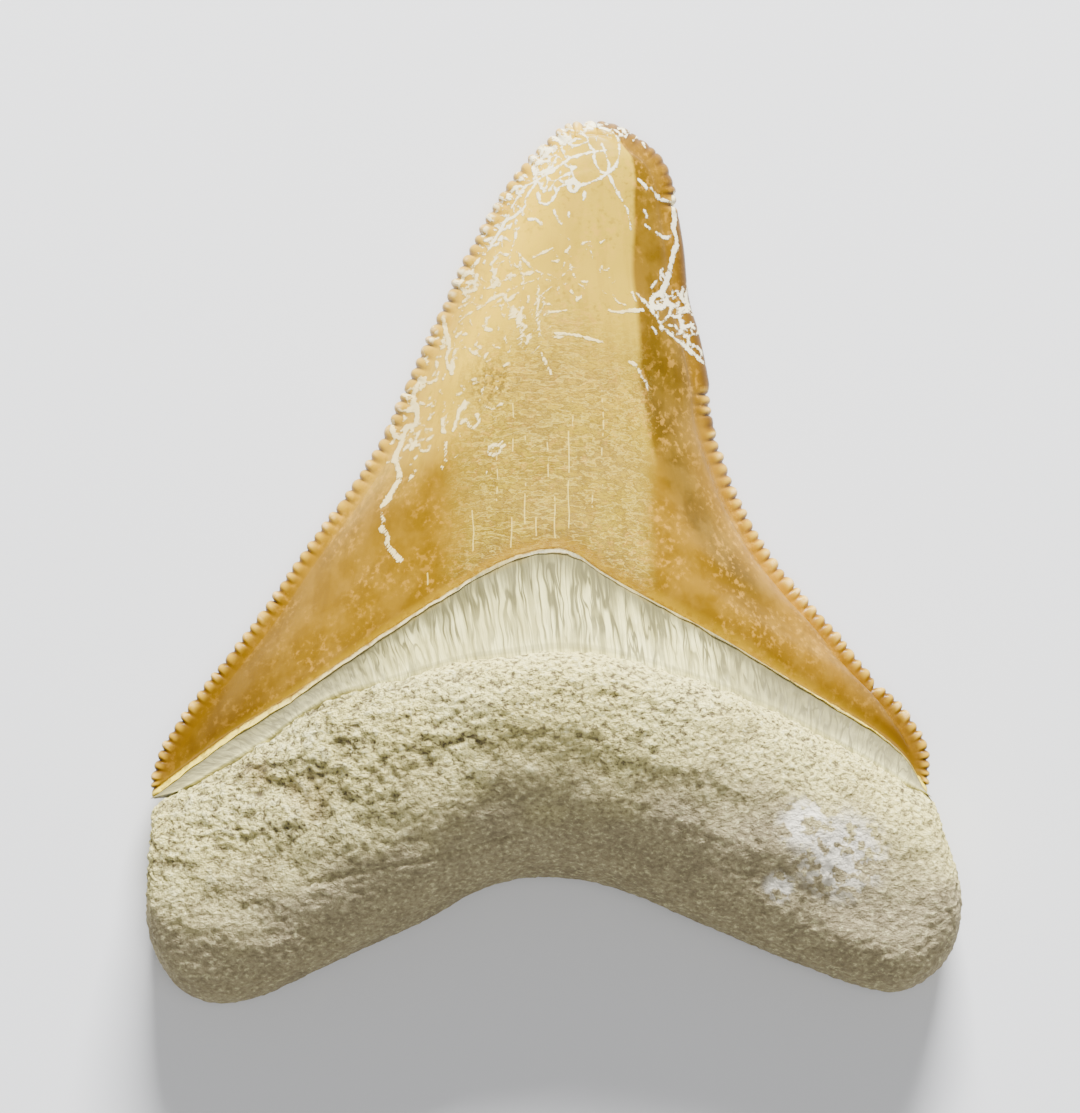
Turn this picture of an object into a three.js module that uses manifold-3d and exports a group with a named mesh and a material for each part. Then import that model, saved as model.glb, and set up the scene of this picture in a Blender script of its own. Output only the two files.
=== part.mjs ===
// A fossil megalodon tooth, one solid piece, lying on its flatter lip side with the rounded tongue side up.
// +X runs across the tooth, +Y from the root to the tip of the crown and +Z up from the surface it lies on.
// The crown, the dental band and the root are three closed surfaces, each a function of two parameters, and
// are fused into one.
import * as THREE from 'three';
import { ParametricGeometry } from 'three/addons/geometries/ParametricGeometry.js';
import { mergeVertices } from 'three/addons/utils/BufferGeometryUtils.js';
import Module from 'manifold-3d';

// Outlines seen from above, in millimetres
const LEFT_CUTTING_EDGE = [
  [-25.3, -15.0], [-25.4, -13.5], [-24.7, -11.5], [-22.4, -8.1], [-18.8, -3.5], [-15.9, 0.7], [-13.1, 4.5],
  [-11.0, 7.8], [-9.7, 10.7], [-7.1, 16.3], [-5.7, 19.3], [-3.1, 23.8], [-0.8, 26.4], [0.8, 27.7], [1.8, 27.8],
  [2.7, 27.8],
];
const RIGHT_CUTTING_EDGE = [
  [23.4, -14.8], [23.7, -13.2], [23.5, -11.4], [22.1, -9.2], [20.5, -7.5], [19.3, -6.2], [17.9, -4.4], [15.8, -2.1],
  [13.6, 0.7], [11.9, 3.7], [10.9, 6.2], [10.1, 8.6], [9.8, 11.1], [9.2, 14.1], [8.5, 16.6], [8.2, 19.6],
  [7.8, 22.1], [7.6, 23.7], [6.8, 25.5], [5.4, 26.7], [4.1, 27.5], [2.7, 27.8],
];
const TONGUE_SIDE_MARGIN = [
  [-25.3, -15.0], [-23.5, -13.6], [-20.7, -11.5], [-15.9, -8.5], [-10.9, -5.1], [-6.5, -2.3], [-3.4, -0.5],
  [-0.5, 0.3], [1.2, 0.1], [2.9, -1.0], [5.4, -2.4], [10.5, -5.1], [15.5, -8.1], [19.9, -10.7], [22.1, -12.5],
  [23.4, -14.8],
];
const LIP_SIDE_MARGIN = [
  [-25.3, -15.0], [-19.7, -12.6], [-12.2, -10.2], [0.1, -8.8], [12.0, -10.1], [18.6, -12.7], [23.4, -14.8],
];
const ROOT_UPPER_EDGE = [
  [-25.5, -20.7], [-25.3, -17.5], [-24.9, -15.4], [-22.2, -13.7], [-18.5, -11.5], [-14.1, -8.6], [-10.3, -7.5],
  [-5.9, -6.3], [-2.7, -5.9], [0.4, -5.6], [3.6, -5.9], [8.0, -7.1], [11.7, -8.4], [15.5, -10.2], [19.3, -12.2],
  [22.1, -13.9], [23.7, -15.0], [24.5, -17.2], [25.1, -19.1], [25.5, -20.7],
];
const ROOT_LOWER_EDGE = [
  [-25.5, -20.7], [-25.5, -22.9], [-24.9, -24.9], [-23.5, -26.9], [-21.3, -27.8], [-18.5, -27.4], [-14.7, -25.7],
  [-10.9, -23.9], [-7.8, -22.5], [-5.3, -21.0], [-2.7, -20.1], [-0.5, -19.9], [2.3, -20.2], [5.4, -21.2],
  [9.8, -23.1], [14.9, -25.2], [18.6, -26.6], [21.4, -27.1], [23.7, -26.0], [25.1, -24.1], [25.5, -22.2],
  [25.5, -20.7],
];

// Heights of the crown above the surface that the tooth lies on
const CROWN_BASE_HEIGHT = 10.0;
const CROWN_TIP_HEIGHT = 3.0;
const CUTTING_EDGE_HEIGHT = 1.3;
const CORNER_EDGE_HEIGHT = 2.7;
const TIP_EDGE_RISE = 0.6;
const TIP_LIFT = 0.9;
const TIP_LIFT_FROM = 0.62;
const EDGE_HALF_THICKNESS = 0.42;
const FLAT_SHARE = 0.35;

// Serrations: rounded beads along both cutting edges, worn away on the right below the tip
const SERRATIONS = 68;
const SERRATION_DEPTH = 0.34;
const SERRATION_LENGTH = 1.2;
const BEAD_SQUARENESS = 0.6;
const CORNER_BEADS = { saved: 0.0147, reach: 0.035, strength: 0.5, until: 0.03 };
const WORN = { from: 0.61, fadeIn: 0.01, to: 0.84, fadeOut: 0.02 };
const CHIP = { at: 0.166, halfWidth: 0.008, depth: 0.35 };
const MARGIN_SWING_UNTIL = 0.06;
const TIP_SWING_FROM = 0.985;

// Heights and forms of the root
const LOBE_MIDDLE_HEIGHT = 3.3;
const ARCH_MIDDLE_HEIGHT = 4.3;
const ROOT_LIP_RISE = 5.4;
const LOBE_BULGE = 3.9;
const ARCH_BULGE = 4.7;
const ARCH_FLOOR = 0.35;
const LOBE_REST = { fromMiddle: 0.27, halfWidth: 0.09 };
const CORNER_SHARE = 0.105;
const GRAIN_HEIGHT = 0.12;
const ROOT_LUMPS = [
  { x: -16.0, y: -14.0, rx: 2.6, ry: 1.5, height: -0.55 },
  { x: -18.5, y: -12.6, rx: 3.2, ry: 1.0, height: 0.35 },
  { x: -15.6, y: -9.6, rx: 2.2, ry: 0.8, height: 0.4 },
  { x: -6.2, y: -12.2, rx: 2.4, ry: 1.2, height: -0.3 },
  { x: 15.8, y: -17.2, rx: 3.0, ry: 1.6, height: 0.45 },
  { x: 19.5, y: -21.5, rx: 3.4, ry: 2.0, height: -0.3 },
  { x: -21.5, y: -22.0, rx: 2.6, ry: 3.0, height: 0.35 },
  { x: 24.2, y: -20.2, rx: 1.4, ry: 1.2, height: 0.4 },
];

// The dental band is set back from the enamel and the root's lip, and keeps a least height at the base corners
const BAND_RECESS = 0.3;
const BAND_LEAST_HEIGHT = 1.2;
const BAND_CORNER = { share: 0.02, down: 0.6 };

// How finely the three surfaces are cut up, and the smallest detail that the fused solid keeps
const CROWN_ROWS = SERRATIONS * 3;
const ROOT_COLUMNS = 38;
const ROOT_ROWS = 20;
const BAND_COLUMNS = 34;
const SMALLEST_DETAIL = 0.01;

const { lerp, smoothstep, clamp } = THREE.MathUtils;

// A smooth curve through outline points, read by the share of its length.
function outline(points) {
  const curve = new THREE.SplineCurve(points.map(([x, y]) => new THREE.Vector2(x, y)));
  curve.arcLengthDivisions = 1500;
  return curve;
}

const leftEdge = outline(LEFT_CUTTING_EDGE);
const rightEdge = outline(RIGHT_CUTTING_EDGE);
const tongueMargin = outline(TONGUE_SIDE_MARGIN);
const lipMargin = outline(LIP_SIDE_MARGIN);
const rootUpper = outline(ROOT_UPPER_EDGE);
const rootLower = outline(ROOT_LOWER_EDGE);

// The share of an edge's length at serration share s: the beads are finer near the base corners.
function alongEdge(s) {
  const { saved, reach } = CORNER_BEADS;
  return clamp((s - saved * (1 - Math.exp(-s / reach))) / (1 - saved), 0, 1);
}

// How far a point of an edge stands back from its envelope, in millimetres, for serration share s.
function edgeInset(s, isRight) {
  const bead = Math.abs(Math.sin(Math.PI * SERRATIONS * s)) ** BEAD_SQUARENESS;
  const place = alongEdge(s);
  const wornIn = smoothstep(place, WORN.from - WORN.fadeIn, WORN.from);
  const wornOut = smoothstep(place, WORN.to - WORN.fadeOut, WORN.to);
  const worn = isRight ? wornIn * (1 - wornOut) : 0;
  const strength = (1 - worn) * lerp(CORNER_BEADS.strength, 1, smoothstep(s, 0, CORNER_BEADS.until));
  const chip = isRight ? CHIP.depth * Math.exp(-(((place - CHIP.at) / CHIP.halfWidth) ** 2)) : 0;
  return SERRATION_DEPTH * strength * (1 - bead) + chip;
}

// A point near a cutting edge, d millimetres in from it, on the line square to the edge. At the base corner
// that line swings round to the enamel's lower margin, so the first row of the crown follows the margin, and
// at the tip it swings to straight down the tooth, where the rows from both edges close on each other.
function edgePoint(s, d, isRight, margin) {
  const curve = isRight ? rightEdge : leftEdge;
  const place = alongEdge(s);
  const point = curve.getPointAt(place);
  const tangent = curve.getTangentAt(place);
  const inward = isRight ? new THREE.Vector2(-tangent.y, tangent.x) : new THREE.Vector2(tangent.y, -tangent.x);
  const share = SERRATION_LENGTH / margin.getLength();
  const marginPoint = margin.getPointAt(isRight ? 1 - share : share);
  const swing = Math.max(0, 1 - s / MARGIN_SWING_UNTIL) ** 2;
  const direction = inward.multiplyScalar(SERRATION_LENGTH);
  direction.lerp(marginPoint.sub(curve.getPointAt(0)), swing);
  direction.lerp(new THREE.Vector2(0, -SERRATION_LENGTH), smoothstep(s, TIP_SWING_FROM, 1));
  const start = edgeInset(s, isRight) * (1 - d / SERRATION_LENGTH);
  return point.addScaledVector(direction, (d + start) / SERRATION_LENGTH);
}

// A point of the crown between its two serrated strips, seen from above: on the straight line from strip to strip
// near the tip, and on the bowed lower margin at the base.
function crownPlan(s, across, margin) {
  const left = edgePoint(s, SERRATION_LENGTH, false, margin);
  const right = edgePoint(s, SERRATION_LENGTH, true, margin);
  const leftBase = edgePoint(0, SERRATION_LENGTH, false, margin);
  const rightBase = edgePoint(0, SERRATION_LENGTH, true, margin);
  const share = SERRATION_LENGTH / margin.getLength();
  const base = margin.getPointAt(lerp(share, 1 - share, across));
  const bow = base.sub(leftBase.lerp(rightBase, across));
  return left.lerp(right, across).addScaledVector(bow, (1 - s) ** 1.25);
}

function cuttingEdgeHeight(s) {
  return CUTTING_EDGE_HEIGHT + (CORNER_EDGE_HEIGHT - CUTTING_EDGE_HEIGHT) * (1 - s) ** 8 + TIP_EDGE_RISE * s ** 4;
}

// The crown's height above its cutting edge on the tongue side, at share a of the width: an arch whose sides are
// hollow at the base and full towards the tip.
function crownDome(s, a) {
  const middle = lerp(CROWN_BASE_HEIGHT, CROWN_TIP_HEIGHT, s ** 1.15) - cuttingEdgeHeight(s);
  const flatness = lerp(2.0, 2.5, smoothstep(s, 0, 0.5));
  const power = lerp(1.75, 1.0, smoothstep(s, 0, 0.7));
  return middle * (1 - Math.abs(2 * a - 1) ** flatness) ** power;
}

// The lip side is truly flat in its middle and turns up to the cutting edges and, a little, to the tip.
function crownUnderside(s, a) {
  const lift = TIP_LIFT * Math.max(0, (s - TIP_LIFT_FROM) / (1 - TIP_LIFT_FROM)) ** 2;
  const turn = Math.max(0, (Math.abs(2 * a - 1) - FLAT_SHARE) / (1 - FLAT_SHARE)) ** 2;
  return lerp(lift, Math.max(lift, cuttingEdgeHeight(s)), turn);
}

// Columns once round the crown: over the tongue side from left to right, then back under the lip side. A strip is
// the distance in from the cutting edge, and the other columns share out the width between the strips.
const STRIP = SERRATION_LENGTH;
const CROWN_COLUMNS = [
  { across: 0, strip: 0, over: true },
  { across: 0, strip: 0.35, over: true },
  { across: 0, strip: STRIP, over: true },
  { across: 0.12, over: true }, { across: 0.26, over: true }, { across: 0.4, over: true },
  { across: 0.5, over: true },
  { across: 0.6, over: true }, { across: 0.74, over: true }, { across: 0.88, over: true },
  { across: 1, strip: STRIP, over: true },
  { across: 1, strip: 0.35, over: true },
  { across: 1, strip: 0, over: true },
  { across: 1, strip: STRIP, over: false },
  { across: 0.8, over: false }, { across: 0.6, over: false },
  { across: 0.4, over: false }, { across: 0.2, over: false },
  { across: 0, strip: STRIP, over: false },
];

function crownPoint(s, column, target) {
  const { across, over, strip } = column;
  const margin = over ? tongueMargin : lipMargin;
  const inStrip = strip !== undefined;
  const plan = inStrip ? edgePoint(s, strip, across > 0.5, margin) : crownPlan(s, across, margin);
  const width = edgePoint(s, 0, false, margin).distanceTo(edgePoint(s, 0, true, margin));
  const stripShare = Math.min(0.5, STRIP / Math.max(width, 1e-6));
  const distance = inStrip ? strip : STRIP;
  const fromEdge = (distance / STRIP) * stripShare;
  const inside = lerp(stripShare, 1 - stripShare, across);
  const a = inStrip ? Math.abs(across - fromEdge) : inside;
  const rounding = Math.sqrt(1 - Math.max(0, 1 - distance / EDGE_HALF_THICKNESS) ** 2);
  const height = over
    ? cuttingEdgeHeight(s) + EDGE_HALF_THICKNESS * rounding + crownDome(s, a)
    : crownUnderside(s, a);
  return target.set(plan.x, plan.y, height);
}

// The crown's inner end, deep inside the root, where the fused pieces hide it.
const CROWN_ANCHOR = new THREE.Vector3(0, -12, 4);

function crownSurface(u, v, target) {
  const column = CROWN_COLUMNS[Math.round(u * CROWN_COLUMNS.length) % CROWN_COLUMNS.length];
  const row = Math.round(v * (CROWN_ROWS + 1));
  if (row === 0) return target.copy(CROWN_ANCHOR);
  return crownPoint((row - 1) / CROWN_ROWS, column, target);
}

// Lumps and hollows of the root's upper side, and a low uneven grain over all of it.
function rootLumps(x, y) {
  let height = GRAIN_HEIGHT * Math.sin(0.9 * x + 0.5 * y) * Math.sin(1.1 * y - 0.4 * x + 0.6);
  for (const lump of ROOT_LUMPS) {
    height += lump.height * Math.exp(-(((x - lump.x) / lump.rx) ** 2) - ((y - lump.y) / lump.ry) ** 2);
  }
  return height;
}

// The root's end-to-end rounding: 0 at the outer end of each lobe, 1 over most of the length.
function rootEnds(u) {
  return Math.sqrt(Math.max(0, 1 - Math.abs(2 * u - 1) ** 7));
}

// 1 between the two base corners of the crown, where the root's upper edge lies under the dental band, and 0
// round the outer ends of the lobes.
function underBand(u) {
  return smoothstep(0.5 - Math.abs(u - 0.5), CORNER_SHARE - 0.02, CORNER_SHARE + 0.03);
}

// 1 at the arch in the middle of the root, falling to 0 at the lobes.
function archShare(u) {
  return Math.cos(clamp((u - 0.5) / 0.9, -0.5, 0.5) * Math.PI) ** 2;
}

// The height of the root's widest line, at share q of the way from its lower edge to its upper one.
function rootBaseline(u, q) {
  const lower = lerp(LOBE_MIDDLE_HEIGHT, ARCH_MIDDLE_HEIGHT, archShare(u));
  return lerp(lower, lower + ROOT_LIP_RISE * archShare(u) * underBand(u), q);
}

// The root's underside lies on the surface at the middle of each lobe, and a little clear of it elsewhere.
function rootFloor(u) {
  const lobe = Math.exp(-(((Math.abs(u - 0.5) - LOBE_REST.fromMiddle) / LOBE_REST.halfWidth) ** 2));
  return ARCH_FLOOR * clamp(1.25 - 2.5 * lobe, 0, 1);
}

// One point of the root: u runs from the left lobe's end to the right one's, and angle once round the section,
// a squared ellipse between the lower and the upper edge that is flattened where the tooth lies on it.
function rootPoint(u, angle, target) {
  const q = 0.5 - 0.5 * Math.sign(Math.cos(angle)) * Math.abs(Math.cos(angle)) ** 0.8;
  const plan = rootLower.getPointAt(u).lerp(rootUpper.getPointAt(u), q);
  const baseline = rootBaseline(u, q);
  const sine = Math.sin(angle);
  if (sine >= 0) {
    const bulge = lerp(LOBE_BULGE, ARCH_BULGE, archShare(u)) + rootLumps(plan.x, plan.y);
    return target.set(plan.x, plan.y, baseline + bulge * sine ** 0.8 * rootEnds(u));
  }
  const squareness = q > 0.5 ? lerp(0.8, 0.3, underBand(u)) : 0.8;
  const share = Math.min(1, 1.12 * Math.abs(sine) ** squareness);
  return target.set(plan.x, plan.y, lerp(baseline, rootFloor(u), share * rootEnds(u)));
}

// The stations along the root are closer together at the ends of the lobes.
function rootSurface(u, v, target) {
  const even = Math.round(v * ROOT_COLUMNS) / ROOT_COLUMNS;
  const place = lerp(0.5 - 0.5 * Math.cos(Math.PI * even), even, 0.45);
  const turn = (Math.round(u * ROOT_ROWS) % ROOT_ROWS) / ROOT_ROWS;
  return rootPoint(place, 2 * Math.PI * turn, target);
}

// The dental band between enamel and root: a long solid whose top is the band, set back a little from the enamel
// above it and the root's lip below it. Its edges drop and run on under both. w is the share of the way from the
// lip to the enamel, and drop the depth below the band's surface.
const BAND_SECTION = [
  { w: -0.5, drop: 0.5 }, { w: 0, drop: 0 }, { w: 0.35, drop: 0.1 }, { w: 0.7, drop: 0.1 }, { w: 0.98, drop: 0.1 },
  { w: 1.1, drop: 2.2 }, { w: 1.1, drop: 5 }, { w: -0.5, drop: 5 },
];
const LIP_ANGLE = 0.86 * Math.PI;

function bandPoint(t, section, target) {
  const place = lerp(CORNER_SHARE, 1 - CORNER_SHARE + 0.01, t);
  const lip = rootPoint(place, LIP_ANGLE, new THREE.Vector3());
  const marginHeight = cuttingEdgeHeight(0) + crownDome(0, t) + EDGE_HALF_THICKNESS;
  const plan = rootUpper.getPointAt(place).lerp(tongueMargin.getPointAt(t), section.w);
  const ends = Math.sqrt(Math.max(0, 1 - Math.abs(2 * t - 1) ** 9));
  const top = lerp(lip.z, marginHeight, clamp(section.w, 0, 1)) - BAND_RECESS;
  return target.set(plan.x, plan.y, top - Math.min(section.drop, top - BAND_LEAST_HEIGHT) * ends);
}

function bandSurface(u, v, target) {
  const section = BAND_SECTION[Math.round(u * BAND_SECTION.length) % BAND_SECTION.length];
  const t = Math.round(v * BAND_COLUMNS) / BAND_COLUMNS;
  if (t === 0 || t === 1) {
    const corner = tongueMargin.getPointAt(Math.abs(t - BAND_CORNER.share));
    return target.set(corner.x, corner.y - BAND_CORNER.down, CORNER_EDGE_HEIGHT);
  }
  return bandPoint(t, section, target);
}

const wasm = await Module();
wasm.setup();

function manifoldOf(vertProperties, triangles) {
  return new wasm.Manifold(new wasm.Mesh({ numProp: 3, vertProperties, triVerts: new Uint32Array(triangles) }));
}

// The closed solid that a surface function bounds, its seam and poles merged and its faces pointing out.
function solidFrom(surface, around, along) {
  const geometry = new ParametricGeometry(surface, around, along);
  geometry.deleteAttribute('normal');
  geometry.deleteAttribute('uv');
  const merged = mergeVertices(geometry, 1e-4);
  const corners = Array.from(merged.index.array);
  const triangles = [];
  for (let i = 0; i < corners.length; i += 3) {
    const [a, b, c] = corners.slice(i, i + 3);
    if (a !== b && b !== c && c !== a) triangles.push(a, b, c);
  }
  const solid = manifoldOf(merged.attributes.position.array, triangles);
  return solid.volume() > 0 ? solid : manifoldOf(merged.attributes.position.array, triangles.reverse());
}

const crown = solidFrom(crownSurface, CROWN_COLUMNS.length, CROWN_ROWS + 1);
const band = solidFrom(bandSurface, BAND_SECTION.length, BAND_COLUMNS);
const root = solidFrom(rootSurface, ROOT_ROWS, ROOT_COLUMNS);
const whole = root.add(band).add(crown).asOriginal().simplify(SMALLEST_DETAIL).getMesh();

const toothGeometry = new THREE.BufferGeometry();
toothGeometry.setAttribute('position', new THREE.BufferAttribute(new Float32Array(whole.vertProperties), 3));
toothGeometry.setIndex(new THREE.BufferAttribute(new Uint32Array(whole.triVerts), 1));
toothGeometry.computeVertexNormals();

const fossil = new THREE.MeshStandardMaterial({ color: '#c9ab5e', roughness: 0.45, metalness: 0 });
const tooth = new THREE.Mesh(toothGeometry, fossil);
tooth.name = 'tooth';

const specimen = new THREE.Group();
specimen.add(tooth);

export default specimen;
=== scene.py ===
import bmesh
import bpy
import numpy as np
from mathutils import Matrix


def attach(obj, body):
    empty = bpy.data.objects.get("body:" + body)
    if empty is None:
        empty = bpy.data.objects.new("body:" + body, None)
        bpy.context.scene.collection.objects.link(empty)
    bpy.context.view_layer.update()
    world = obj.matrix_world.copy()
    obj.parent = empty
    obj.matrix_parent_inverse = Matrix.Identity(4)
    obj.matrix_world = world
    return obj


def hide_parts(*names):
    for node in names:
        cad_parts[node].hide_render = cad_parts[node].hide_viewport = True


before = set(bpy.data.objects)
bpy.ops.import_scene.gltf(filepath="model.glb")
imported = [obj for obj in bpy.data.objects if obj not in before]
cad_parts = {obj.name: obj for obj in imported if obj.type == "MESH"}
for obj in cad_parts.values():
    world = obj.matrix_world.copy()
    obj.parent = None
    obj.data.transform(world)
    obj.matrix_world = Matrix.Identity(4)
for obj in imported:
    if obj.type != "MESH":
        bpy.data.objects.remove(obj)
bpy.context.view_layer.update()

# The enamel crown
# The blade of the tooth, a glossy cap of enamel over dentine, grown in one with the root. Both cutting
# edges carry a row of rounded serrations, worn off on the right below the tip. Etched white lines run
# over its upper part, and its lower margin ends in a thin step above the dental band.
MM = 0.001
FUSING_DISTANCE = 0.002 * MM
LEFT_CUTTING_EDGE = [
    (-25.3, -15.0), (-25.4, -13.5), (-24.7, -11.5), (-22.4, -8.1), (-18.8, -3.5), (-15.9, 0.7),
    (-13.1, 4.5), (-11.0, 7.8), (-9.7, 10.7), (-7.1, 16.3), (-5.7, 19.3), (-3.1, 23.8), (-0.8, 26.4),
    (0.8, 27.7), (1.8, 27.8), (2.7, 27.8),
]
RIGHT_CUTTING_EDGE = [
    (23.4, -14.8), (23.7, -13.2), (23.5, -11.4), (22.1, -9.2), (20.5, -7.5), (19.3, -6.2), (17.9, -4.4),
    (15.8, -2.1), (13.6, 0.7), (11.9, 3.7), (10.9, 6.2), (10.1, 8.6), (9.8, 11.1), (9.2, 14.1),
    (8.5, 16.6), (8.2, 19.6), (7.8, 22.1), (7.6, 23.7), (6.8, 25.5), (5.4, 26.7), (4.1, 27.5),
    (2.7, 27.8),
]
TONGUE_SIDE_MARGIN = [
    (-25.3, -15.0), (-23.5, -13.6), (-20.7, -11.5), (-15.9, -8.5), (-10.9, -5.1), (-6.5, -2.3),
    (-3.4, -0.5), (-0.5, 0.3), (1.2, 0.1), (2.9, -1.0), (5.4, -2.4), (10.5, -5.1), (15.5, -8.1),
    (19.9, -10.7), (22.1, -12.5), (23.4, -14.8),
]
LIP_SIDE_MARGIN = [
    (-25.3, -15.0), (-19.7, -12.6), (-12.2, -10.2), (0.1, -8.8), (12.0, -10.1), (18.6, -12.7),
    (23.4, -14.8),
]
CROWN_BASE_HEIGHT = 10.0
CROWN_TIP_HEIGHT = 3.0
CUTTING_EDGE_HEIGHT = 1.3
CORNER_EDGE_HEIGHT = 2.7
TIP_EDGE_RISE = 0.6
TIP_LIFT = 0.9
TIP_LIFT_FROM = 0.62
EDGE_HALF_THICKNESS = 0.42
FLAT_SHARE = 0.35
SERRATIONS = 68
SERRATION_DEPTH = 0.36
SERRATION_LENGTH = 1.2
SERRATION_RELIEF = 0.17
ROWS_PER_SERRATION = 8
CREASE_SHARE = 0.758
CHIP_PLACE = 0.166
CHIP_LENGTH = 0.008
CHIP_DEPTH = 0.35
CROWN_ANCHOR = (0.0, -12.0, 4.0)


def lerp(start, end, share):
    """The value at a share of the way from start to end."""
    return start + (end - start) * share


def eased(value, low, high):
    """0 below low and 1 above high, and 3t^2 - 2t^3 of the share t of the way between them."""
    t = np.clip((value - low) / (high - low), 0, 1)
    return t * t * (3 - 2 * t)


def smooth_outline(points, samples=3000):
    """A curve through the points and its running length. Between two points it is the cubic that leaves
    the first and reaches the second in the direction of their outer neighbours (Catmull-Rom)."""
    points = np.array(points, float)
    knots = np.vstack([points[:1], points, points[-1:]])
    t = np.linspace(0, len(points) - 1, samples)
    number = np.minimum(t.astype(int), len(points) - 2)
    w = (t - number)[:, None]
    before, start, end, after = (knots[number + k] for k in range(4))
    leave, arrive = (end - before) / 2, (after - start) / 2
    path = (2 * start - 2 * end + leave + arrive) * w ** 3
    path += (3 * end - 3 * start - 2 * leave - arrive) * w ** 2 + leave * w + start
    length = np.append(0, np.cumsum(np.linalg.norm(np.diff(path, axis=0), axis=1)))
    return length, path


def along(outline, share):
    """Points at shares of an outline's length: x and y are interpolated over the running length."""
    length, path = outline
    at = np.asarray(share, float) * length[-1]
    return np.stack([np.interp(at, length, path[:, k]) for k in (0, 1)], axis=-1)


def heading(outline, share, reach=0.004):
    """Unit direction of an outline: the step between points a little before and after, over its length."""
    share = np.asarray(share, float)
    step = along(outline, np.minimum(share + reach, 1)) - along(outline, np.maximum(share - reach, 0))
    return step / np.linalg.norm(step, axis=-1, keepdims=True)


left_edge = smooth_outline(LEFT_CUTTING_EDGE)
right_edge = smooth_outline(RIGHT_CUTTING_EDGE)
tongue_margin = smooth_outline(TONGUE_SIDE_MARGIN)
lip_margin = smooth_outline(LIP_SIDE_MARGIN)


def edge_place(s):
    """The share of a cutting edge's length at serration share s: s less a small decaying head start, so
    that the serrations are finer near the base corners."""
    saved, reach = 0.0147, 0.035
    return np.clip((s - saved * (1 - np.exp(-s / reach))) / (1 - saved), 0, 1)


def serration(s, is_right):
    """A bead's reach from 0 in a gap to 1 on its top, and the strength of the row. The reach is |sin|^0.6
    of the running count of beads, times a size of each bead's own. The strength falls to half at the base
    corner, and to nothing where the right edge is worn."""
    shape = np.random.default_rng(12 if is_right else 11)
    sizes = shape.uniform(0.7, 1.0, SERRATIONS)
    drift = np.interp(s * SERRATIONS, np.arange(SERRATIONS + 1), shape.uniform(-0.16, 0.16, SERRATIONS + 1))
    count = np.clip(s * SERRATIONS + drift * eased(s, 0, 0.02) * (1 - eased(s, 0.98, 1)), 0, SERRATIONS)
    size = sizes[np.minimum(count.astype(int), SERRATIONS - 1)]
    bead = size * np.abs(np.sin(np.pi * count)) ** 0.6
    strength = lerp(0.5, 1, eased(s, 0, 0.03))
    if is_right:
        place = edge_place(s)
        weak = 0.65 * eased(place, 0.545, 0.552) * (1 - eased(place, 0.565, 0.572))
        worn = eased(place, 0.60, 0.61) * (1 - eased(place, 0.82, 0.84))
        uneven = 0.6 * eased(place, 0.84, 0.86)
        strength = strength * (1 - worn) * (1 - weak) * (1 - uneven)
    return bead, strength


def edge_strip(s, d, is_right, margin):
    """Points d millimetres in from a cutting edge, one row for each s. They lie on the line square to the
    edge, which swings to the lower margin at the base corner and straight down the tooth at the tip. The
    edge itself steps back between the beads and at one chip on the right."""
    outline = right_edge if is_right else left_edge
    place = edge_place(s)
    ahead = heading(outline, place)
    turned = np.stack([-ahead[:, 1], ahead[:, 0]], -1)
    inward = turned if is_right else -turned
    share = SERRATION_LENGTH / margin[0][-1]
    to_margin = along(margin, 1 - share if is_right else share) - along(outline, 0)
    way = lerp(inward * SERRATION_LENGTH, to_margin, np.maximum(0, 1 - s / 0.06)[:, None] ** 2)
    way = lerp(way, np.array([0, -SERRATION_LENGTH]), eased(s, 0.985, 1)[:, None])
    bead, strength = serration(s, is_right)
    inset = SERRATION_DEPTH * strength * (1 - bead)
    if is_right:
        inset = inset + CHIP_DEPTH * np.exp(-((place - CHIP_PLACE) / CHIP_LENGTH) ** 2)
    reach = (d[None] + inset[:, None] * (1 - d[None] / SERRATION_LENGTH)) / SERRATION_LENGTH
    return along(outline, place)[:, None] + way[:, None] * reach[..., None]


def cutting_edge_height(s):
    """Height of a cutting edge: 1.3 mm, rising by (1-s)^8 to the base corner and by s^4 to the tip."""
    corner_rise = (CORNER_EDGE_HEIGHT - CUTTING_EDGE_HEIGHT) * (1 - s) ** 8
    return CUTTING_EDGE_HEIGHT + corner_rise + TIP_EDGE_RISE * s ** 4


def crown_dome(s, a):
    """Height of the tongue side above the cutting edge at share a of the width: the middle's height times
    (1 - |2a-1|^flatness)^power, hollow at the base and full towards the tip. Right of the crease the arch
    gives way to a straight facet, fully near the tip and not at all near the base."""
    middle = lerp(CROWN_BASE_HEIGHT, CROWN_TIP_HEIGHT, s ** 1.15) - cutting_edge_height(s)
    flatness = lerp(2.0, 2.5, eased(s, 0, 0.5))
    power = lerp(1.75, 1.0, eased(s, 0, 0.7))

    def arch(at):
        return middle * (1 - np.abs(2 * at - 1) ** flatness) ** power

    facet = arch(CREASE_SHARE) * np.clip((1 - a) / (1 - CREASE_SHARE), 0, 1)
    facet_share = 0.75 * eased(s, 0.35, 0.62) * (1 - 0.4 * eased(s, 0.93, 1))
    return np.where(a > CREASE_SHARE, lerp(arch(a), facet, facet_share), arch(a))


def crown_underside(s, a):
    """Height of the lip side: flat on the table in the middle, turned up to the cutting edges by the square
    of the share beyond the flat part, and a little to the tip."""
    lift = TIP_LIFT * np.maximum(0, (s - TIP_LIFT_FROM) / (1 - TIP_LIFT_FROM)) ** 2
    turn = np.maximum(0, (np.abs(2 * a - 1) - FLAT_SHARE) / (1 - FLAT_SHARE)) ** 2
    return lerp(lift, np.maximum(lift, cutting_edge_height(s)), turn)


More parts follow.
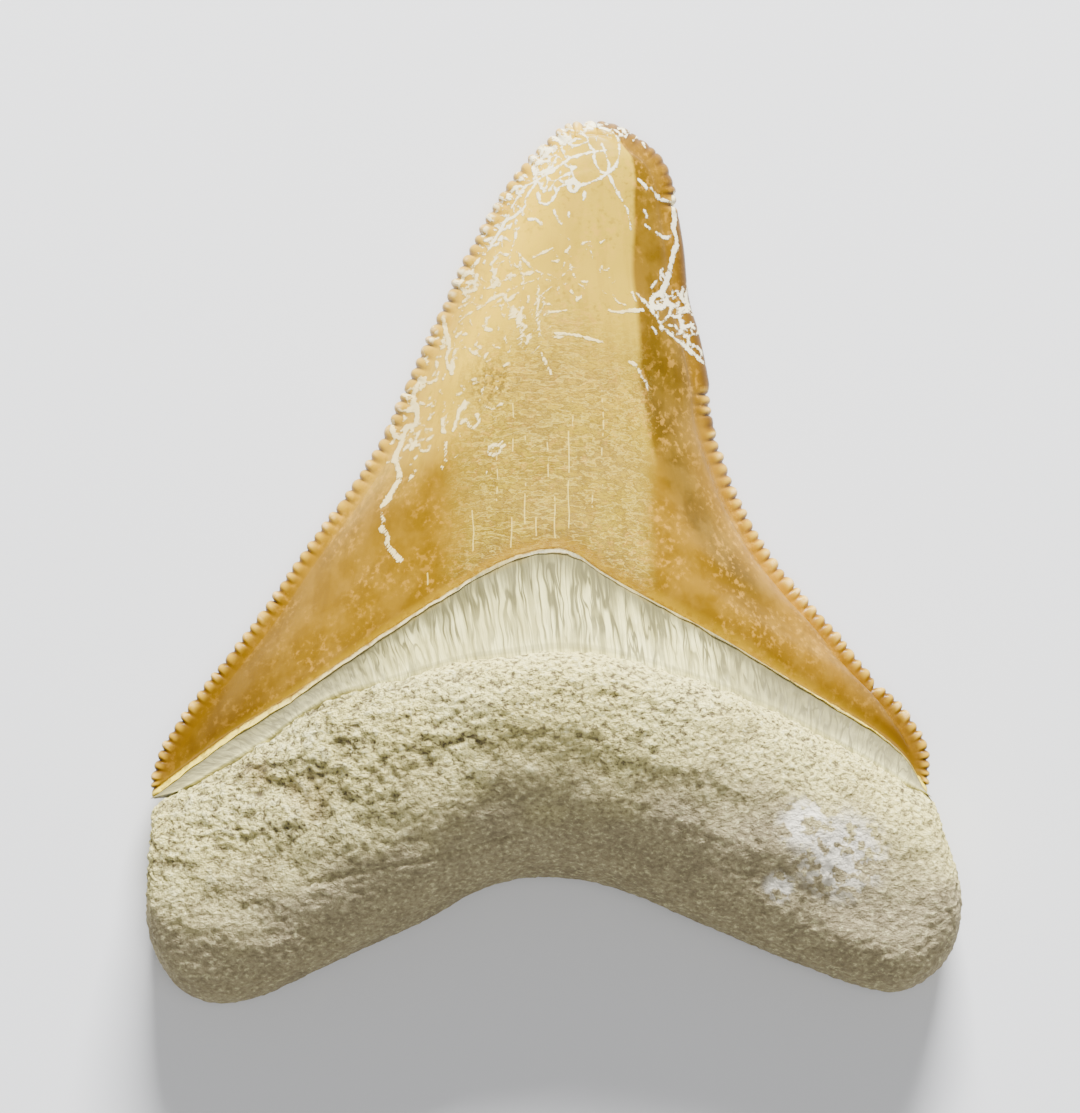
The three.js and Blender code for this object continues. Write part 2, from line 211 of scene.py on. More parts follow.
def crown_side(s, depths, across, is_over):
    """One side of the crown as a grid with a row for each s: the left serrated strip from edge to inner
    line, points shared out between the strips, and the right strip from inner line to edge. Gives the
    points, the share a of the width, the distance from the nearer cutting edge and the bead reach."""
    margin = tongue_margin if is_over else lip_margin
    left = edge_strip(s, depths, False, margin)
    right = edge_strip(s, depths, True, margin)
    rows = s[:, None]
    inner_left, inner_right = left[:, -1:], right[:, -1:]
    middle = lerp(inner_left, inner_right, across[None, :, None])
    share = SERRATION_LENGTH / margin[0][-1]
    bow = along(margin, lerp(share, 1 - share, across)) - middle[0]
    middle = middle + bow[None] * ((1 - s) ** 1.25)[:, None, None]
    straight_across = along(right_edge, edge_place(s)) - along(left_edge, edge_place(s))
    width = np.linalg.norm(straight_across, axis=-1)[:, None]
    strip_share = np.minimum(0.5, SERRATION_LENGTH / np.maximum(width, 1e-6))
    a_strip = depths[None] / SERRATION_LENGTH * strip_share
    a_middle = lerp(strip_share, 1 - strip_share, across[None])
    a = np.hstack([a_strip, a_middle, 1 - a_strip[:, ::-1]])
    plan = np.concatenate([left, middle, right[:, ::-1]], axis=1)
    gap_strip = np.repeat(depths[None], len(s), axis=0)
    inner_width = np.maximum(width - 2 * SERRATION_LENGTH, 0)
    gap_middle = SERRATION_LENGTH + np.minimum(across, 1 - across)[None] * inner_width
    gap = np.hstack([gap_strip, gap_middle, gap_strip[:, ::-1]])
    reach_left, strength_left = serration(s, False)
    reach_right, strength_right = serration(s, True)
    beside_left = a < 0.5
    bead_left, bead_right = reach_left * strength_left, reach_right * strength_right
    bead = np.where(beside_left, bead_left[:, None], bead_right[:, None])
    strength = np.where(beside_left, strength_left[:, None], strength_right[:, None])
    rounding = np.sqrt(1 - np.maximum(0, 1 - gap / EDGE_HALF_THICKNESS) ** 2)
    relief = SERRATION_RELIEF * (bead - 0.55 * strength) * np.minimum(1, gap / 0.1)
    relief = relief * np.exp(-(gap / 0.5) ** 2)
    if is_over:
        height = cutting_edge_height(rows) + EDGE_HALF_THICKNESS * rounding + crown_dome(rows, a) + relief
    else:
        height = crown_underside(rows, a) - 0.5 * relief * eased(gap, 1.2, 0.9)
    return np.dstack([plan, height]), a, gap, bead


def closed_grid(name, points, **fields):
    """A closed mesh from a grid of points in millimetres. Each row is a ring whose end joins its start, and
    a first or last row that lies on one point or folds flat closes that end. Every field becomes a number
    per vertex. If the enclosed volume comes out negative, the faces are turned round."""
    rows, columns = points.shape[:2]
    vertices = points.reshape(-1, 3) * MM
    here = np.arange(rows * columns).reshape(rows, columns)
    beside = np.roll(here, -1, axis=1)
    faces = np.stack([here[:-1], beside[:-1], beside[1:], here[1:]], -1).reshape(-1, 4)
    a, b, c, d = (vertices[faces[:, k]] for k in range(4))
    six_volumes = np.sum(np.cross(b - a, c - a) * a) + np.sum(np.cross(c - a, d - a) * a)
    if six_volumes < 0:
        faces = faces[:, ::-1]
    mesh = bpy.data.meshes.new(name)
    mesh.vertices.add(len(vertices))
    mesh.vertices.foreach_set("co", vertices.ravel())
    mesh.loops.add(faces.size)
    mesh.loops.foreach_set("vertex_index", np.ascontiguousarray(faces).ravel())
    mesh.polygons.add(len(faces))
    mesh.polygons.foreach_set("loop_start", np.arange(0, faces.size, 4))
    mesh.update(calc_edges=True)
    for field, values in fields.items():
        layer = mesh.attributes.new(field, "FLOAT", "POINT")
        layer.data.foreach_set("value", np.ascontiguousarray(values, dtype=np.float32).ravel())
    fused = bmesh.new()
    fused.from_mesh(mesh)
    bmesh.ops.remove_doubles(fused, verts=fused.verts, dist=FUSING_DISTANCE)
    fused.to_mesh(mesh)
    fused.free()
    mesh.polygons.foreach_set("use_smooth", np.ones(len(mesh.polygons), bool))
    piece = bpy.data.objects.new(name, mesh)
    bpy.context.collection.objects.link(piece)
    return piece


def wave_noise(x, cell, seed):
    """Smooth noise from -1 to 1 along a line: random values a cell apart, joined by eased steps."""
    values = np.random.default_rng(seed).uniform(-1, 1, 512)
    number = np.floor(x / cell).astype(int)
    return lerp(values[number % 512], values[(number + 1) % 512], eased(x / cell - number, 0, 1))


# White lines etched into the enamel, each a width and the points that it runs through, in millimetres
ETCHED_LINES = [
    (0.17, [(-2.7, 22.1), (-2.5, 22.5), (-1.9, 23.4), (-1.0, 23.9), (0.1, 24.6), (1.0, 25.2),
            (1.9, 25.5), (3.2, 25.7)]),
    (0.17, [(-3.8, 21.0), (-3.1, 21.3), (-2.5, 21.6), (-1.9, 22.1), (-1.8, 22.7), (-1.3, 23.5),
            (-1.0, 23.9)]),
    (0.19, [(-3.1, 21.3), (-3.8, 20.1), (-4.3, 19.3), (-5.6, 18.0), (-6.0, 17.2), (-5.4, 16.9),
            (-4.9, 16.9)]),
    (0.17, [(-0.2, 26.8), (0.3, 26.4), (0.5, 25.7), (0.7, 25.3)]),
    (0.21, [(0.0, 26.1), (-0.6, 25.5), (-1.1, 25.0), (-1.3, 24.6), (-1.1, 24.0)]),
    (0.16, [(0.5, 27.2), (1.0, 27.1), (1.6, 26.9), (2.1, 27.1), (2.5, 27.3), (3.3, 27.5)]),
    (0.17, [(0.9, 26.2), (1.2, 26.0), (1.7, 26.1), (2.1, 26.3), (1.8, 26.8), (1.2, 26.9), (0.9, 26.5)]),
    (0.16, [(2.1, 26.5), (2.2, 26.0), (2.5, 25.7)]),
    (0.16, [(2.5, 25.5), (2.6, 24.8), (3.0, 24.3), (3.4, 24.3), (3.8, 24.7), (4.1, 25.5), (3.9, 26.7),
            (2.9, 27.2)]),
    (0.19, [(3.0, 26.1), (3.2, 25.5), (3.4, 24.9), (3.4, 24.3)]),
    (0.15, [(3.4, 24.3), (2.9, 23.9), (2.2, 23.6), (1.5, 23.4)]),
    (0.28, [(0.8, 23.7), (1.2, 23.7), (1.5, 23.4), (1.2, 23.0), (0.9, 23.3), (1.0, 23.6)]),
    (0.15, [(1.0, 24.8), (1.1, 24.3), (1.2, 23.9)]),
    (0.14, [(-0.3, 23.2), (0.1, 23.8), (0.7, 24.1), (0.9, 24.2)]),
    (0.14, [(-1.0, 23.0), (-0.9, 22.4), (-0.4, 22.3), (0.0, 22.7), (0.3, 23.3), (0.8, 23.5)]),
    (0.15, [(3.4, 24.1), (3.7, 23.5), (4.0, 22.9), (4.3, 22.4)]),
    (0.09, [(4.3, 22.4), (4.6, 21.9), (4.7, 21.3), (4.8, 20.7)]),
    (0.19, [(1.9, 23.0), (1.8, 22.5)]),
    (0.21, [(0.0, 21.8), (0.2, 21.3), (0.4, 21.0)]),
    (0.16, [(-1.6, 21.3), (-1.2, 21.3), (-0.8, 21.0)]),
    (0.19, [(0.9, 21.7), (0.9, 21.4)]),
    (0.12, [(2.4, 23.7), (2.3, 23.4)]),
    (0.12, [(-2.4, 20.8), (-2.5, 20.0), (-2.7, 19.3), (-2.8, 18.7), (-2.7, 18.3)]),
    (0.14, [(-2.4, 19.3), (-2.0, 18.9), (-1.4, 18.2), (-0.9, 17.9), (-0.2, 17.7), (0.2, 17.4)]),
    (0.16, [(-1.3, 18.9), (-0.6, 19.2), (-0.2, 19.4)]),
    (0.15, [(-3.0, 17.7), (-2.3, 17.8), (-1.4, 17.9)]),
    (0.13, [(-2.5, 18.5), (-2.1, 17.9), (-1.9, 17.3), (-2.0, 16.8)]),
    (0.17, [(-1.0, 17.5), (-1.0, 16.1), (-1.1, 15.4), (-1.0, 14.7), (-0.9, 13.9)]),
    (0.16, [(-0.8, 12.9), (-0.6, 12.3), (-0.2, 11.5)]),
    (0.10, [(0.4, 20.3), (0.9, 20.0), (1.0, 19.6), (0.7, 19.2)]),
    (0.10, [(0.9, 18.6), (1.0, 18.2), (0.5, 17.7)]),
    (0.14, [(-2.0, 15.8), (-2.2, 15.0), (-2.3, 14.7)]),
    (0.15, [(-3.2, 16.6), (-3.9, 16.3), (-4.6, 15.8), (-5.4, 15.4), (-6.0, 14.9), (-6.3, 14.2)]),
    (0.10, [(-0.5, 15.4), (0.1, 15.4), (0.8, 15.5)]),
    (0.10, [(-0.2, 14.1), (0.8, 14.0), (1.5, 13.9), (2.2, 13.7), (3.0, 13.5)]),
    (0.19, [(3.4, 15.5), (4.0, 15.4), (4.6, 15.5), (5.5, 15.6)]),
    (0.14, [(3.7, 16.5), (3.9, 16.1), (4.4, 15.9)]),
    (0.21, [(5.2, 16.6), (6.0, 15.8), (6.4, 15.3), (6.8, 14.6), (7.5, 14.0), (8.3, 13.4), (9.6, 12.3)]),
    (0.28, [(7.6, 23.2), (7.5, 22.3), (7.6, 21.5), (7.5, 21.0), (7.7, 20.3)]),
    (0.30, [(7.7, 20.3), (7.6, 19.6), (7.3, 18.5), (7.1, 17.6), (6.7, 16.8)]),
    (0.33, [(6.7, 16.8), (6.2, 16.4), (6.1, 16.0), (6.7, 15.8), (7.1, 16.3)]),
    (0.16, [(6.1, 23.4), (6.4, 23.0), (6.7, 22.7), (7.3, 22.6)]),
    (0.19, [(5.3, 23.9), (5.6, 23.6), (5.8, 23.3)]),
    (0.16, [(5.7, 21.9), (5.8, 21.5)]),
    (0.17, [(5.7, 21.0), (6.0, 20.8)]),
    (0.19, [(6.4, 20.6), (6.7, 20.4), (7.1, 20.3), (7.4, 20.5)]),
    (0.16, [(6.8, 18.3), (6.6, 17.9), (6.7, 17.6)]),
    (0.21, [(7.4, 16.1), (7.2, 15.4), (6.7, 14.8), (6.8, 14.4)]),
    (0.21, [(7.1, 16.3), (7.4, 16.1), (8.0, 15.8), (8.4, 16.1)]),
    (0.23, [(8.1, 17.1), (8.0, 16.6), (8.4, 16.1)]),
    (0.17, [(7.2, 15.4), (7.9, 15.3), (8.3, 15.7), (9.0, 15.3), (9.1, 14.6), (8.9, 14.2), (8.6, 14.5)]),
    (0.17, [(7.9, 15.3), (8.0, 14.7), (8.3, 14.2), (8.6, 13.6), (9.1, 13.4), (9.3, 12.9)]),
    (0.16, [(7.6, 14.7), (7.9, 14.3), (7.5, 14.1)]),
    (0.16, [(8.4, 17.6), (8.4, 16.1), (9.0, 15.5), (9.2, 14.7), (9.4, 13.7), (9.6, 12.8)]),
    (0.17, [(4.7, 12.3), (5.1, 12.1), (5.4, 11.5), (5.8, 10.9), (5.9, 10.5)]),
    (0.23, [(-7.0, 15.3), (-6.9, 14.7), (-6.7, 14.0), (-6.6, 13.3), (-6.8, 12.6), (-6.4, 11.6)]),
    (0.14, [(-6.2, 13.3), (-6.4, 12.6), (-6.3, 11.9)]),
    (0.26, [(-4.3, 14.4), (-4.0, 14.3)]),
    (0.32, [(-8.4, 11.4), (-8.9, 10.3), (-8.7, 9.6), (-8.6, 8.9), (-8.8, 8.4), (-9.3, 8.3), (-9.5, 7.6)]),
    (0.36, [(-9.5, 7.6), (-9.8, 7.0), (-10.0, 6.4), (-9.8, 5.8), (-9.7, 5.2)]),
    (0.30, [(-9.7, 4.9), (-10.1, 4.4), (-10.4, 3.8), (-10.8, 3.3)]),
    (0.28, [(-10.8, 2.9), (-10.7, 2.4)]),
    (0.34, [(-10.8, 1.9), (-10.4, 1.4), (-10.4, 0.8), (-10.0, 0.3), (-9.6, -0.1)]),
    (0.23, [(-9.1, 10.4), (-9.6, 10.5)]),
    (0.25, [(-8.8, 9.6), (-9.3, 9.4), (-9.8, 9.5)]),
    (0.28, [(-10.2, 8.8), (-10.1, 7.9), (-9.6, 7.6)]),
    (0.19, [(-8.7, 7.4), (-9.0, 6.9)]),
    (0.16, [(-5.6, 9.7), (-5.9, 9.3), (-6.1, 8.6), (-6.3, 8.0)]),
    (0.30, [(-7.0, 8.7), (-6.9, 7.9)]),
    (0.26, [(-8.0, 8.2), (-7.7, 8.1)]),
    (0.28, [(-5.8, 8.4), (-5.5, 8.6), (-5.1, 8.1), (-4.7, 8.5), (-4.8, 8.9)]),
    (0.18, [(-6.8, 7.3), (-6.8, 6.6), (-6.8, 6.1)]),
    (0.19, [(-4.1, 6.6), (-3.9, 7.0), (-3.4, 7.0), (-3.3, 6.6), (-3.8, 6.4), (-4.1, 6.6)]),
    (0.14, [(-3.3, 7.3), (-3.1, 7.0)]),
    (0.18, [(-7.4, 11.3), (-7.8, 11.1), (-8.1, 11.2)]),
]


# Short etched flecks strewn beside the left cutting edge, and in clusters: each cluster's centre, its
# spread in x and y, the number of flecks, their length and their width, in millimetres
EDGE_FLECKS = 170
ETCHING_CAP = 0.8
FLECK_CLUSTERS = [
    ((-6.6, 12.4), (1.5, 3.2), 60, 0.5, 0.08), ((-2.4, 16.6), (1.3, 1.1), 34, 1.2, 0.07),
    ((-1.9, 15.0), (0.9, 1.2), 30, 0.9, 0.07),
    ((1.6, 17.8), (1.2, 0.8), 26, 0.5, 0.07), ((-0.6, 25.2), (1.0, 1.0), 30, 0.8, 0.13),
    ((-3.4, 22.0), (0.7, 1.3), 26, 0.7, 0.11),
    ((7.6, 15.2), (0.8, 0.9), 26, 0.6, 0.12), ((-8.9, 8.6), (0.5, 1.7), 26, 0.5, 0.13),
    ((-4.6, 11.4), (1.2, 1.6), 24, 0.4, 0.09),
    ((4.4, 27.0), (1.3, 0.5), 20, 0.6, 0.12), ((6.6, 16.4), (0.5, 0.6), 12, 0.7, 0.12),
]


def distance_to_line(plan, points, cap, samples_per_point=6):
    """Distance of plan points from a smooth line, up to a cap. The line is cut into short straight pieces,
    and for each piece the nearest point is the foot of the perpendicular, kept between its two ends. Only
    plan points within the cap of the line's box are measured."""
    line = smooth_outline(points, samples_per_point * len(points))[1]
    low, high = line.min(0) - cap, line.max(0) + cap
    distance = np.full(plan.shape[:-1], cap)
    near = np.all((plan > low) & (plan < high), axis=-1)
    spots = plan[near][:, None]
    start, step = line[None, :-1], np.diff(line, axis=0)[None]
    foot = np.sum((spots - start) * step, -1) / np.maximum(np.sum(step * step, -1), 1e-12)
    gap = np.linalg.norm(spots - start - step * np.clip(foot, 0, 1)[..., None], axis=-1)
    distance[near] = np.minimum(gap.min(axis=1), cap) if len(gap) else cap
    return distance


def etching_field(plan, cap=ETCHING_CAP):
    """Distance from the edge of the nearest etched line or fleck, negative inside it and no more than the
    cap. A fleck starts at a random point, runs in a random direction and bends a little on the way."""
    field = np.full(plan.shape[:-1], cap)
    for width, points in ETCHED_LINES:
        field = np.minimum(field, distance_to_line(plan, points, cap) - width / 2)
    flecks = np.random.default_rng(7)

    def fleck(start, turn, length, width):
        step = length * np.array([np.cos(turn), np.sin(turn)])
        bend = start + step * 0.55 + flecks.uniform(-0.2, 0.2, 2) * length
        return distance_to_line(plan, [start, bend, start + step], cap) - width / 2

    for _ in range(EDGE_FLECKS):
        start = along(left_edge, flecks.uniform(0.50, 0.97))
        start = start + np.array([flecks.uniform(0.7, 2.6), flecks.uniform(-0.3, 0.3)])
        turn, length, width = flecks.uniform(0, 6.28), flecks.uniform(0.15, 0.5), flecks.uniform(0.06, 0.15)
        field = np.minimum(field, fleck(start, turn, length, width))
    for centre, spread, count, usual_length, width in FLECK_CLUSTERS:
        for _ in range(count):
            start = np.array(centre) + flecks.normal(0, 1, 2) * np.array(spread)
            turn, length = flecks.uniform(0, 6.28), flecks.uniform(0.4, 1.2) * usual_length
            field = np.minimum(field, fleck(start, turn, length, width))
    return field


OVER_DEPTHS = np.array([0, 0.05, 0.12, 0.21, 0.32, 0.45, 0.6, 0.78, 0.98, SERRATION_LENGTH])
UNDER_DEPTHS = np.array([0, 0.15, 0.35, 0.6, 0.9, SERRATION_LENGTH])
OVER_COLUMNS, UNDER_COLUMNS = 128, 20
# The step of the enamel's lower margin: how far each line of it reaches down the tooth, and its drop
RIM_STEPS = [(0.10, 0.45), (0.08, 0.16), (0.03, 0.04)]

rows = np.linspace(0, 1, SERRATIONS * ROWS_PER_SERRATION + 1)
over_across = np.linspace(0, 1, OVER_COLUMNS + 2)[1:-1] ** 1.15
under_across = np.linspace(0, 1, UNDER_COLUMNS + 2)[1:-1]
over, over_share, over_gap, over_bead = crown_side(rows, OVER_DEPTHS, over_across, True)
under, under_share, under_gap, under_bead = crown_side(rows, UNDER_DEPTHS, under_across, False)

# The lower margin of the tongue side wavers, in plan and in height, away from its two corners
tongue_margin_gap = np.linalg.norm(over[..., :2] - over[:1, :, :2], axis=-1)
margin_x = over[:1, :, 0]
waver = 0.07 * wave_noise(margin_x, 1.1, 3) + 0.05 * wave_noise(margin_x, 0.42, 4)
inner_columns = eased(np.abs(margin_x + 0.9), 24.0, 22.5)
over[..., 1] += waver * inner_columns * np.exp(-(tongue_margin_gap / 0.3) ** 2)
over[..., 2] += 0.02 * wave_noise(margin_x, 0.7, 5) * inner_columns * np.exp(-(tongue_margin_gap / 0.5) ** 2)
ring = np.concatenate([over, under[:, -2:0:-1]], axis=1)
rim = np.stack([ring[0] + np.array([0, -reach, -drop]) for reach, drop in RIM_STEPS])
rim[..., 2] = np.maximum(rim[..., 2], 0)
anchor = np.broadcast_to(np.array(CROWN_ANCHOR), ring[:1].shape)
crown_points = np.concatenate([anchor, rim, ring])


def crown_field(over_values, under_values):
    """A field over the whole crown: the over and under sides side by side, with the first row repeated for
    the rim and the anchor."""
    whole = np.hstack([over_values, under_values[:, -2:0:-1]])
    return np.vstack([whole[:1]] * 4 + [whole])


under_margin_gap = np.linalg.norm(under[..., :2] - under[:1, :, :2], axis=-1)
over_height, under_height = (np.repeat(rows[:, None], side.shape[1], axis=1) for side in (over, under))
crown = closed_grid(
    "enamel_crown",
    crown_points,
    across=crown_field(over_share, under_share),
    upward=crown_field(over_height, under_height),
    edge_gap=crown_field(over_gap, under_gap),
    margin_gap=crown_field(tongue_margin_gap, under_margin_gap),
    bead=crown_field(over_bead, under_bead),
    etching=crown_field(etching_field(over[..., :2]), np.full(under.shape[:2], ETCHING_CAP)),
    tongue_side=crown_field(np.ones(over.shape[:2]), np.zeros(under.shape[:2])),
)


def new_node(tree, kind, inputs=None, **settings):
    """A shader node with its settings, and its inputs set to values or linked from other nodes' outputs."""
    node = tree.nodes.new(kind)
    for setting, value in settings.items():
        setattr(node, setting, value)
    for socket, value in (inputs or {}).items():
        if isinstance(value, bpy.types.NodeSocket):
            tree.links.new(value, node.inputs[socket])
        else:
            node.inputs[socket].default_value = value
    return node


def attribute(tree, field):
    """The number that the mesh keeps at each vertex under that name."""
    return new_node(tree, "ShaderNodeAttribute", attribute_name=field).outputs["Fac"]


def remap(tree, value, low, high, to_low=0.0, to_high=1.0):
    """A value carried smoothly from one range to another, and held at its ends."""
    sockets = {0: value, 1: low, 2: high, 3: to_low, 4: to_high}
    return new_node(tree, "ShaderNodeMapRange", sockets, interpolation_type="SMOOTHSTEP").outputs[0]


def combine(tree, operation, first, second=0.0):
    """Arithmetic on two values."""
    return new_node(tree, "ShaderNodeMath", {0: first, 1: second}, operation=operation).outputs[0]


def total(tree, first, *others):
    """The sum of the values."""
    for other in others:
        first = combine(tree, "ADD", first, other)
    return first


def product(tree, first, *others):
    """The product of the values."""
    for other in others:
        first = combine(tree, "MULTIPLY", first, other)
    return first


def swing(tree, value, reach):
    """A value from 0 to 1 made to swing to both sides of zero: the value less a half, times the reach."""
    return combine(tree, "MULTIPLY", combine(tree, "SUBTRACT", value, 0.5), reach)


def rest_of(tree, share):
    """What a share leaves of 1."""
    return combine(tree, "SUBTRACT", 1.0, share)


def blend(tree, share, under_colour, over_colour):
    """One colour laid over another by a share."""
    sockets = {0: share, 6: under_colour, 7: over_colour}
    return new_node(tree, "ShaderNodeMix", sockets, data_type="RGBA", clamp_factor=True).outputs[2]


def tint(tree, colour, share, strength, code):
    """A named colour laid over another by a share times a strength."""
    return blend(tree, product(tree, share, strength), colour, srgb(code))


def noise(tree, place, scale, detail, roughness=0.5):
    """Soft random values from 0 to 1, at so many blobs to the unit of the place."""
    sockets = {"Vector": place, "Scale": scale, "Detail": detail, "Roughness": roughness}
    return new_node(tree, "ShaderNodeTexNoise", sockets).outputs["Fac"]


def stretched(tree, place, x_scale, y_scale, z_scale):
    """The place scaled along X, Y and Z, so that a pattern on it is drawn out where the scale is small."""
    sockets = {"Vector": place, "Scale": (x_scale, y_scale, z_scale)}
    return new_node(tree, "ShaderNodeMapping", sockets).outputs[0]


def far_from(tree, place, spot):
    """Distance of the place from a spot."""
    return new_node(tree, "ShaderNodeVectorMath", {0: place, 1: spot}, operation="DISTANCE").outputs["Value"]


def srgb(code):
    """A colour written as six hexadecimal digits, in the linear light that shaders work in."""
    parts = np.array([int(code[k:k + 2], 16) / 255 for k in (0, 2, 4)])
    linear = np.where(parts <= 0.04045, parts / 12.92, ((parts + 0.055) / 1.055) ** 2.4)
    return (*linear.tolist(), 1.0)


def colour_ramp(tree, share, stops):
    """A colour that runs through the stops, each a place from 0 to 1 and a colour."""
    node = new_node(tree, "ShaderNodeValToRGB", {0: share})
    ramp = node.color_ramp
    while len(ramp.elements) < len(stops):
        ramp.elements.new(0.5)
    for element, (place, code) in zip(ramp.elements, stops):
        element.position = place
        element.color = srgb(code)
    return node.outputs[0]


def start_material(name):
    """A new material, with its node tree, its Principled shader and the place on the object."""
    material = bpy.data.materials.new(name)
    material.use_nodes = True
    tree = material.node_tree
    place = new_node(tree, "ShaderNodeTexCoord").outputs["Object"]
    return material, tree, tree.nodes["Principled BSDF"], place


def roughen(tree, shader, relief, strength, depth):
    """Joins a relief to the shader's normal, by a Bump node of that strength and depth in metres."""
    bump = new_node(tree, "ShaderNodeBump", {"Strength": strength, "Distance": depth, "Height": relief})
    tree.links.new(bump.outputs[0], shader.inputs["Normal"])


def effect_group(name, sockets_in, socket_out):
    """An empty shader node group with named inputs, each a number with its default or a vector, and one
    named output. Gives the tree and its two end nodes' sockets."""
    tree = bpy.data.node_groups.new(name, "ShaderNodeTree")
    for socket, value in sockets_in.items():
        kind = "NodeSocketVector" if value is None else "NodeSocketFloat"
        made = tree.interface.new_socket(socket, in_out="INPUT", socket_type=kind)
        if value is not None:
            made.default_value = value
    tree.interface.new_socket(socket_out, in_out="OUTPUT", socket_type="NodeSocketFloat")
    return tree, tree.nodes.new("NodeGroupInput").outputs, tree.nodes.new("NodeGroupOutput").inputs


def place_group(tree, group, **values):
    """The output of the group placed in a material with its own values."""
    sockets = {name.replace("_", " "): value for name, value in values.items()}
    return new_node(tree, "ShaderNodeGroup", sockets, node_tree=group).outputs[0]


# Fibres: long fine streaks, noise that is stretched along one direction
fibres, fibre_in, fibre_out = effect_group(
    "fibres", {"Place": None, "Fineness": 1.0, "Contrast": 1.0}, "Streak")
fine = noise(fibres, fibre_in["Place"], fibre_in["Fineness"], 4.0, 0.6)
fibres.links.new(total(fibres, swing(fibres, fine, fibre_in["Contrast"]), 0.5), fibre_out["Streak"])

# Mottling: soft uneven patches of about that size in millimetres, cut from noise between two levels
mottling, mottle_in, mottle_out = effect_group(
    "mottling", {"Place": None, "Size": 3.0, "Low": 0.4, "High": 0.6}, "Patch")
per_metre = combine(mottling, "DIVIDE", 1000.0, mottle_in["Size"])
broad = noise(mottling, mottle_in["Place"], per_metre, 3.0, 0.55)
mottling.links.new(remap(mottling, broad, mottle_in["Low"], mottle_in["High"]), mottle_out["Patch"])

# Hairline: a fine upright crack at one X, wavering a little and broken along its length
hairline, hair_in, hair_out = effect_group(
    "hairline", {"Place": None, "X": 0.0, "Width": 0.00006, "From Y": 0.0, "To Y": 0.01, "Broken": 0.5},
    "Line")
split = new_node(hairline, "ShaderNodeSeparateXYZ", {0: hair_in["Place"]}).outputs
sway = swing(hairline, noise(hairline, hair_in["Place"], 420.0, 2.0), 0.00035)
wavering = total(hairline, split["X"], sway)
off = combine(hairline, "ABSOLUTE", combine(hairline, "SUBTRACT", wavering, hair_in["X"]))
line = rest_of(hairline, combine(hairline, "DIVIDE", off, hair_in["Width"]))
wear = noise(hairline, hair_in["Place"], 1300.0, 1.0)
unbroken = combine(hairline, "GREATER_THAN", wear, hair_in["Broken"])
above = combine(hairline, "GREATER_THAN", split["Y"], hair_in["From Y"])
below = combine(hairline, "LESS_THAN", split["Y"], hair_in["To Y"])
masked = product(hairline, line, unbroken, above, below)
hairline.links.new(combine(hairline, "MAXIMUM", masked, 0.0), hair_out["Line"])


def mottled(tree, place, size, low, high):
    """Soft patches of about that size in millimetres, which fade out between the two noise levels."""
    return place_group(tree, mottling, Place=place, Size=size, Low=low, High=high)


def contour(tree, value, level_at, half_width):
    """A thin wavy line, 1 where the value passes the level and 0 beyond the half width."""
    away = combine(tree, "ABSOLUTE", combine(tree, "SUBTRACT", value, level_at))
    return remap(tree, away, half_width, half_width * 0.3)


# Colours of the enamel from the left edge to the right one, high and low on the crown. The pale high stops
# left of the crease are partly the enamel's own paler tone and partly a painted reflection of the light,
# which ends at the step down to the dark stops right of the crease.
UPPER_ENAMEL_AND_REFLECTION = [
    (0.0, "B79016"), (0.2, "D9B227"), (0.45, "B29321"), (0.745, "B39523"), (0.765, "654902"), (0.9, "5B4202"),
    (1.0, "735304"),
]
LOWER_ENAMEL = [
    (0.0, "7B5902"), (0.35, "765601"), (0.60, "765601"), (0.79, "684A01"), (0.86, "845F02"), (1.0, "8A5E02"),
]
# The lower middle's pale tan is partly a painted reflection, and the flank colour right of the crease is
# partly painted shade
MIDDLE_ENAMEL_AND_REFLECTION = "99811B"
FLANK_ENAMEL_AND_SHADE = "4A3601"
CORNER_ENAMEL = "593E01"
OUTER_ENAMEL = "402800"
EDGE_ENAMEL = "9D6C07"
STREAK_BROWN = "684A03"
CLOUD_YELLOW = "D2A43B"
PEELED_PALE = "CC9838"
PEELED_BROWN = "5E4404"
MIDDLE_GREY = "776136"
SCRATCH_BROWN = "5B410E"
SCRATCH_GLINT = "D7BF5B"
MARGIN_ENAMEL = "957405"
MARGIN_BROWN = "634105"
MARGIN_CRACK = "4A3208"
MARGIN_RIM = "FAE050"
MARGIN_CREAM = "D8CE9C"
BEAD_ENAMEL = "BF9725"
BEAD_CREAM = "EFE2B0"
BEAD_TOP_HIGHLIGHT = "F0CC90"
BEAD_GAP_SHADE = "482C02"
ETCHED_WHITE = "F2EAC4"
ETCHED_CREAM = "ECD692"
HAIRLINE_PALE = "F2D670"
SPECK_DARK = "48340E"
SPECK_PLACE = (-0.0038, 0.0108, 0.0)
# Upright hairlines: X, the Y that they run from and to in millimetres, and how broken they are
HAIRLINES = [
    (-7.9, -1.7, -0.6, 0.45), (-5.06, -0.4, 3.2, 0.42), (-2.67, 0.6, 2.5, 0.35), (-2.6, 6.6, 9.8, 0.52),
    (-1.8, 2.0, 7.6, 0.55), (-1.1, 0.9, 2.5, 0.42), (-0.47, 5.0, 7.2, 0.45), (0.0, 1.2, 3.8, 0.46),
    (0.89, 1.8, 7.9, 0.36), (1.1, 8.2, 9.8, 0.5), (2.39, 3.1, 3.9, 0.4), (2.99, 4.4, 10.8, 0.5),
    (-3.6, 3.5, 6.4, 0.56),
]

enamel, tree, shader, place = start_material("enamel")
across, upward = attribute(tree, "across"), attribute(tree, "upward")
edge_gap, margin_gap = attribute(tree, "edge_gap"), attribute(tree, "margin_gap")
bead, etching = attribute(tree, "bead"), attribute(tree, "etching")
tongue_side = attribute(tree, "tongue_side")
x_place = new_node(tree, "ShaderNodeSeparateXYZ", {0: place}).outputs["X"]
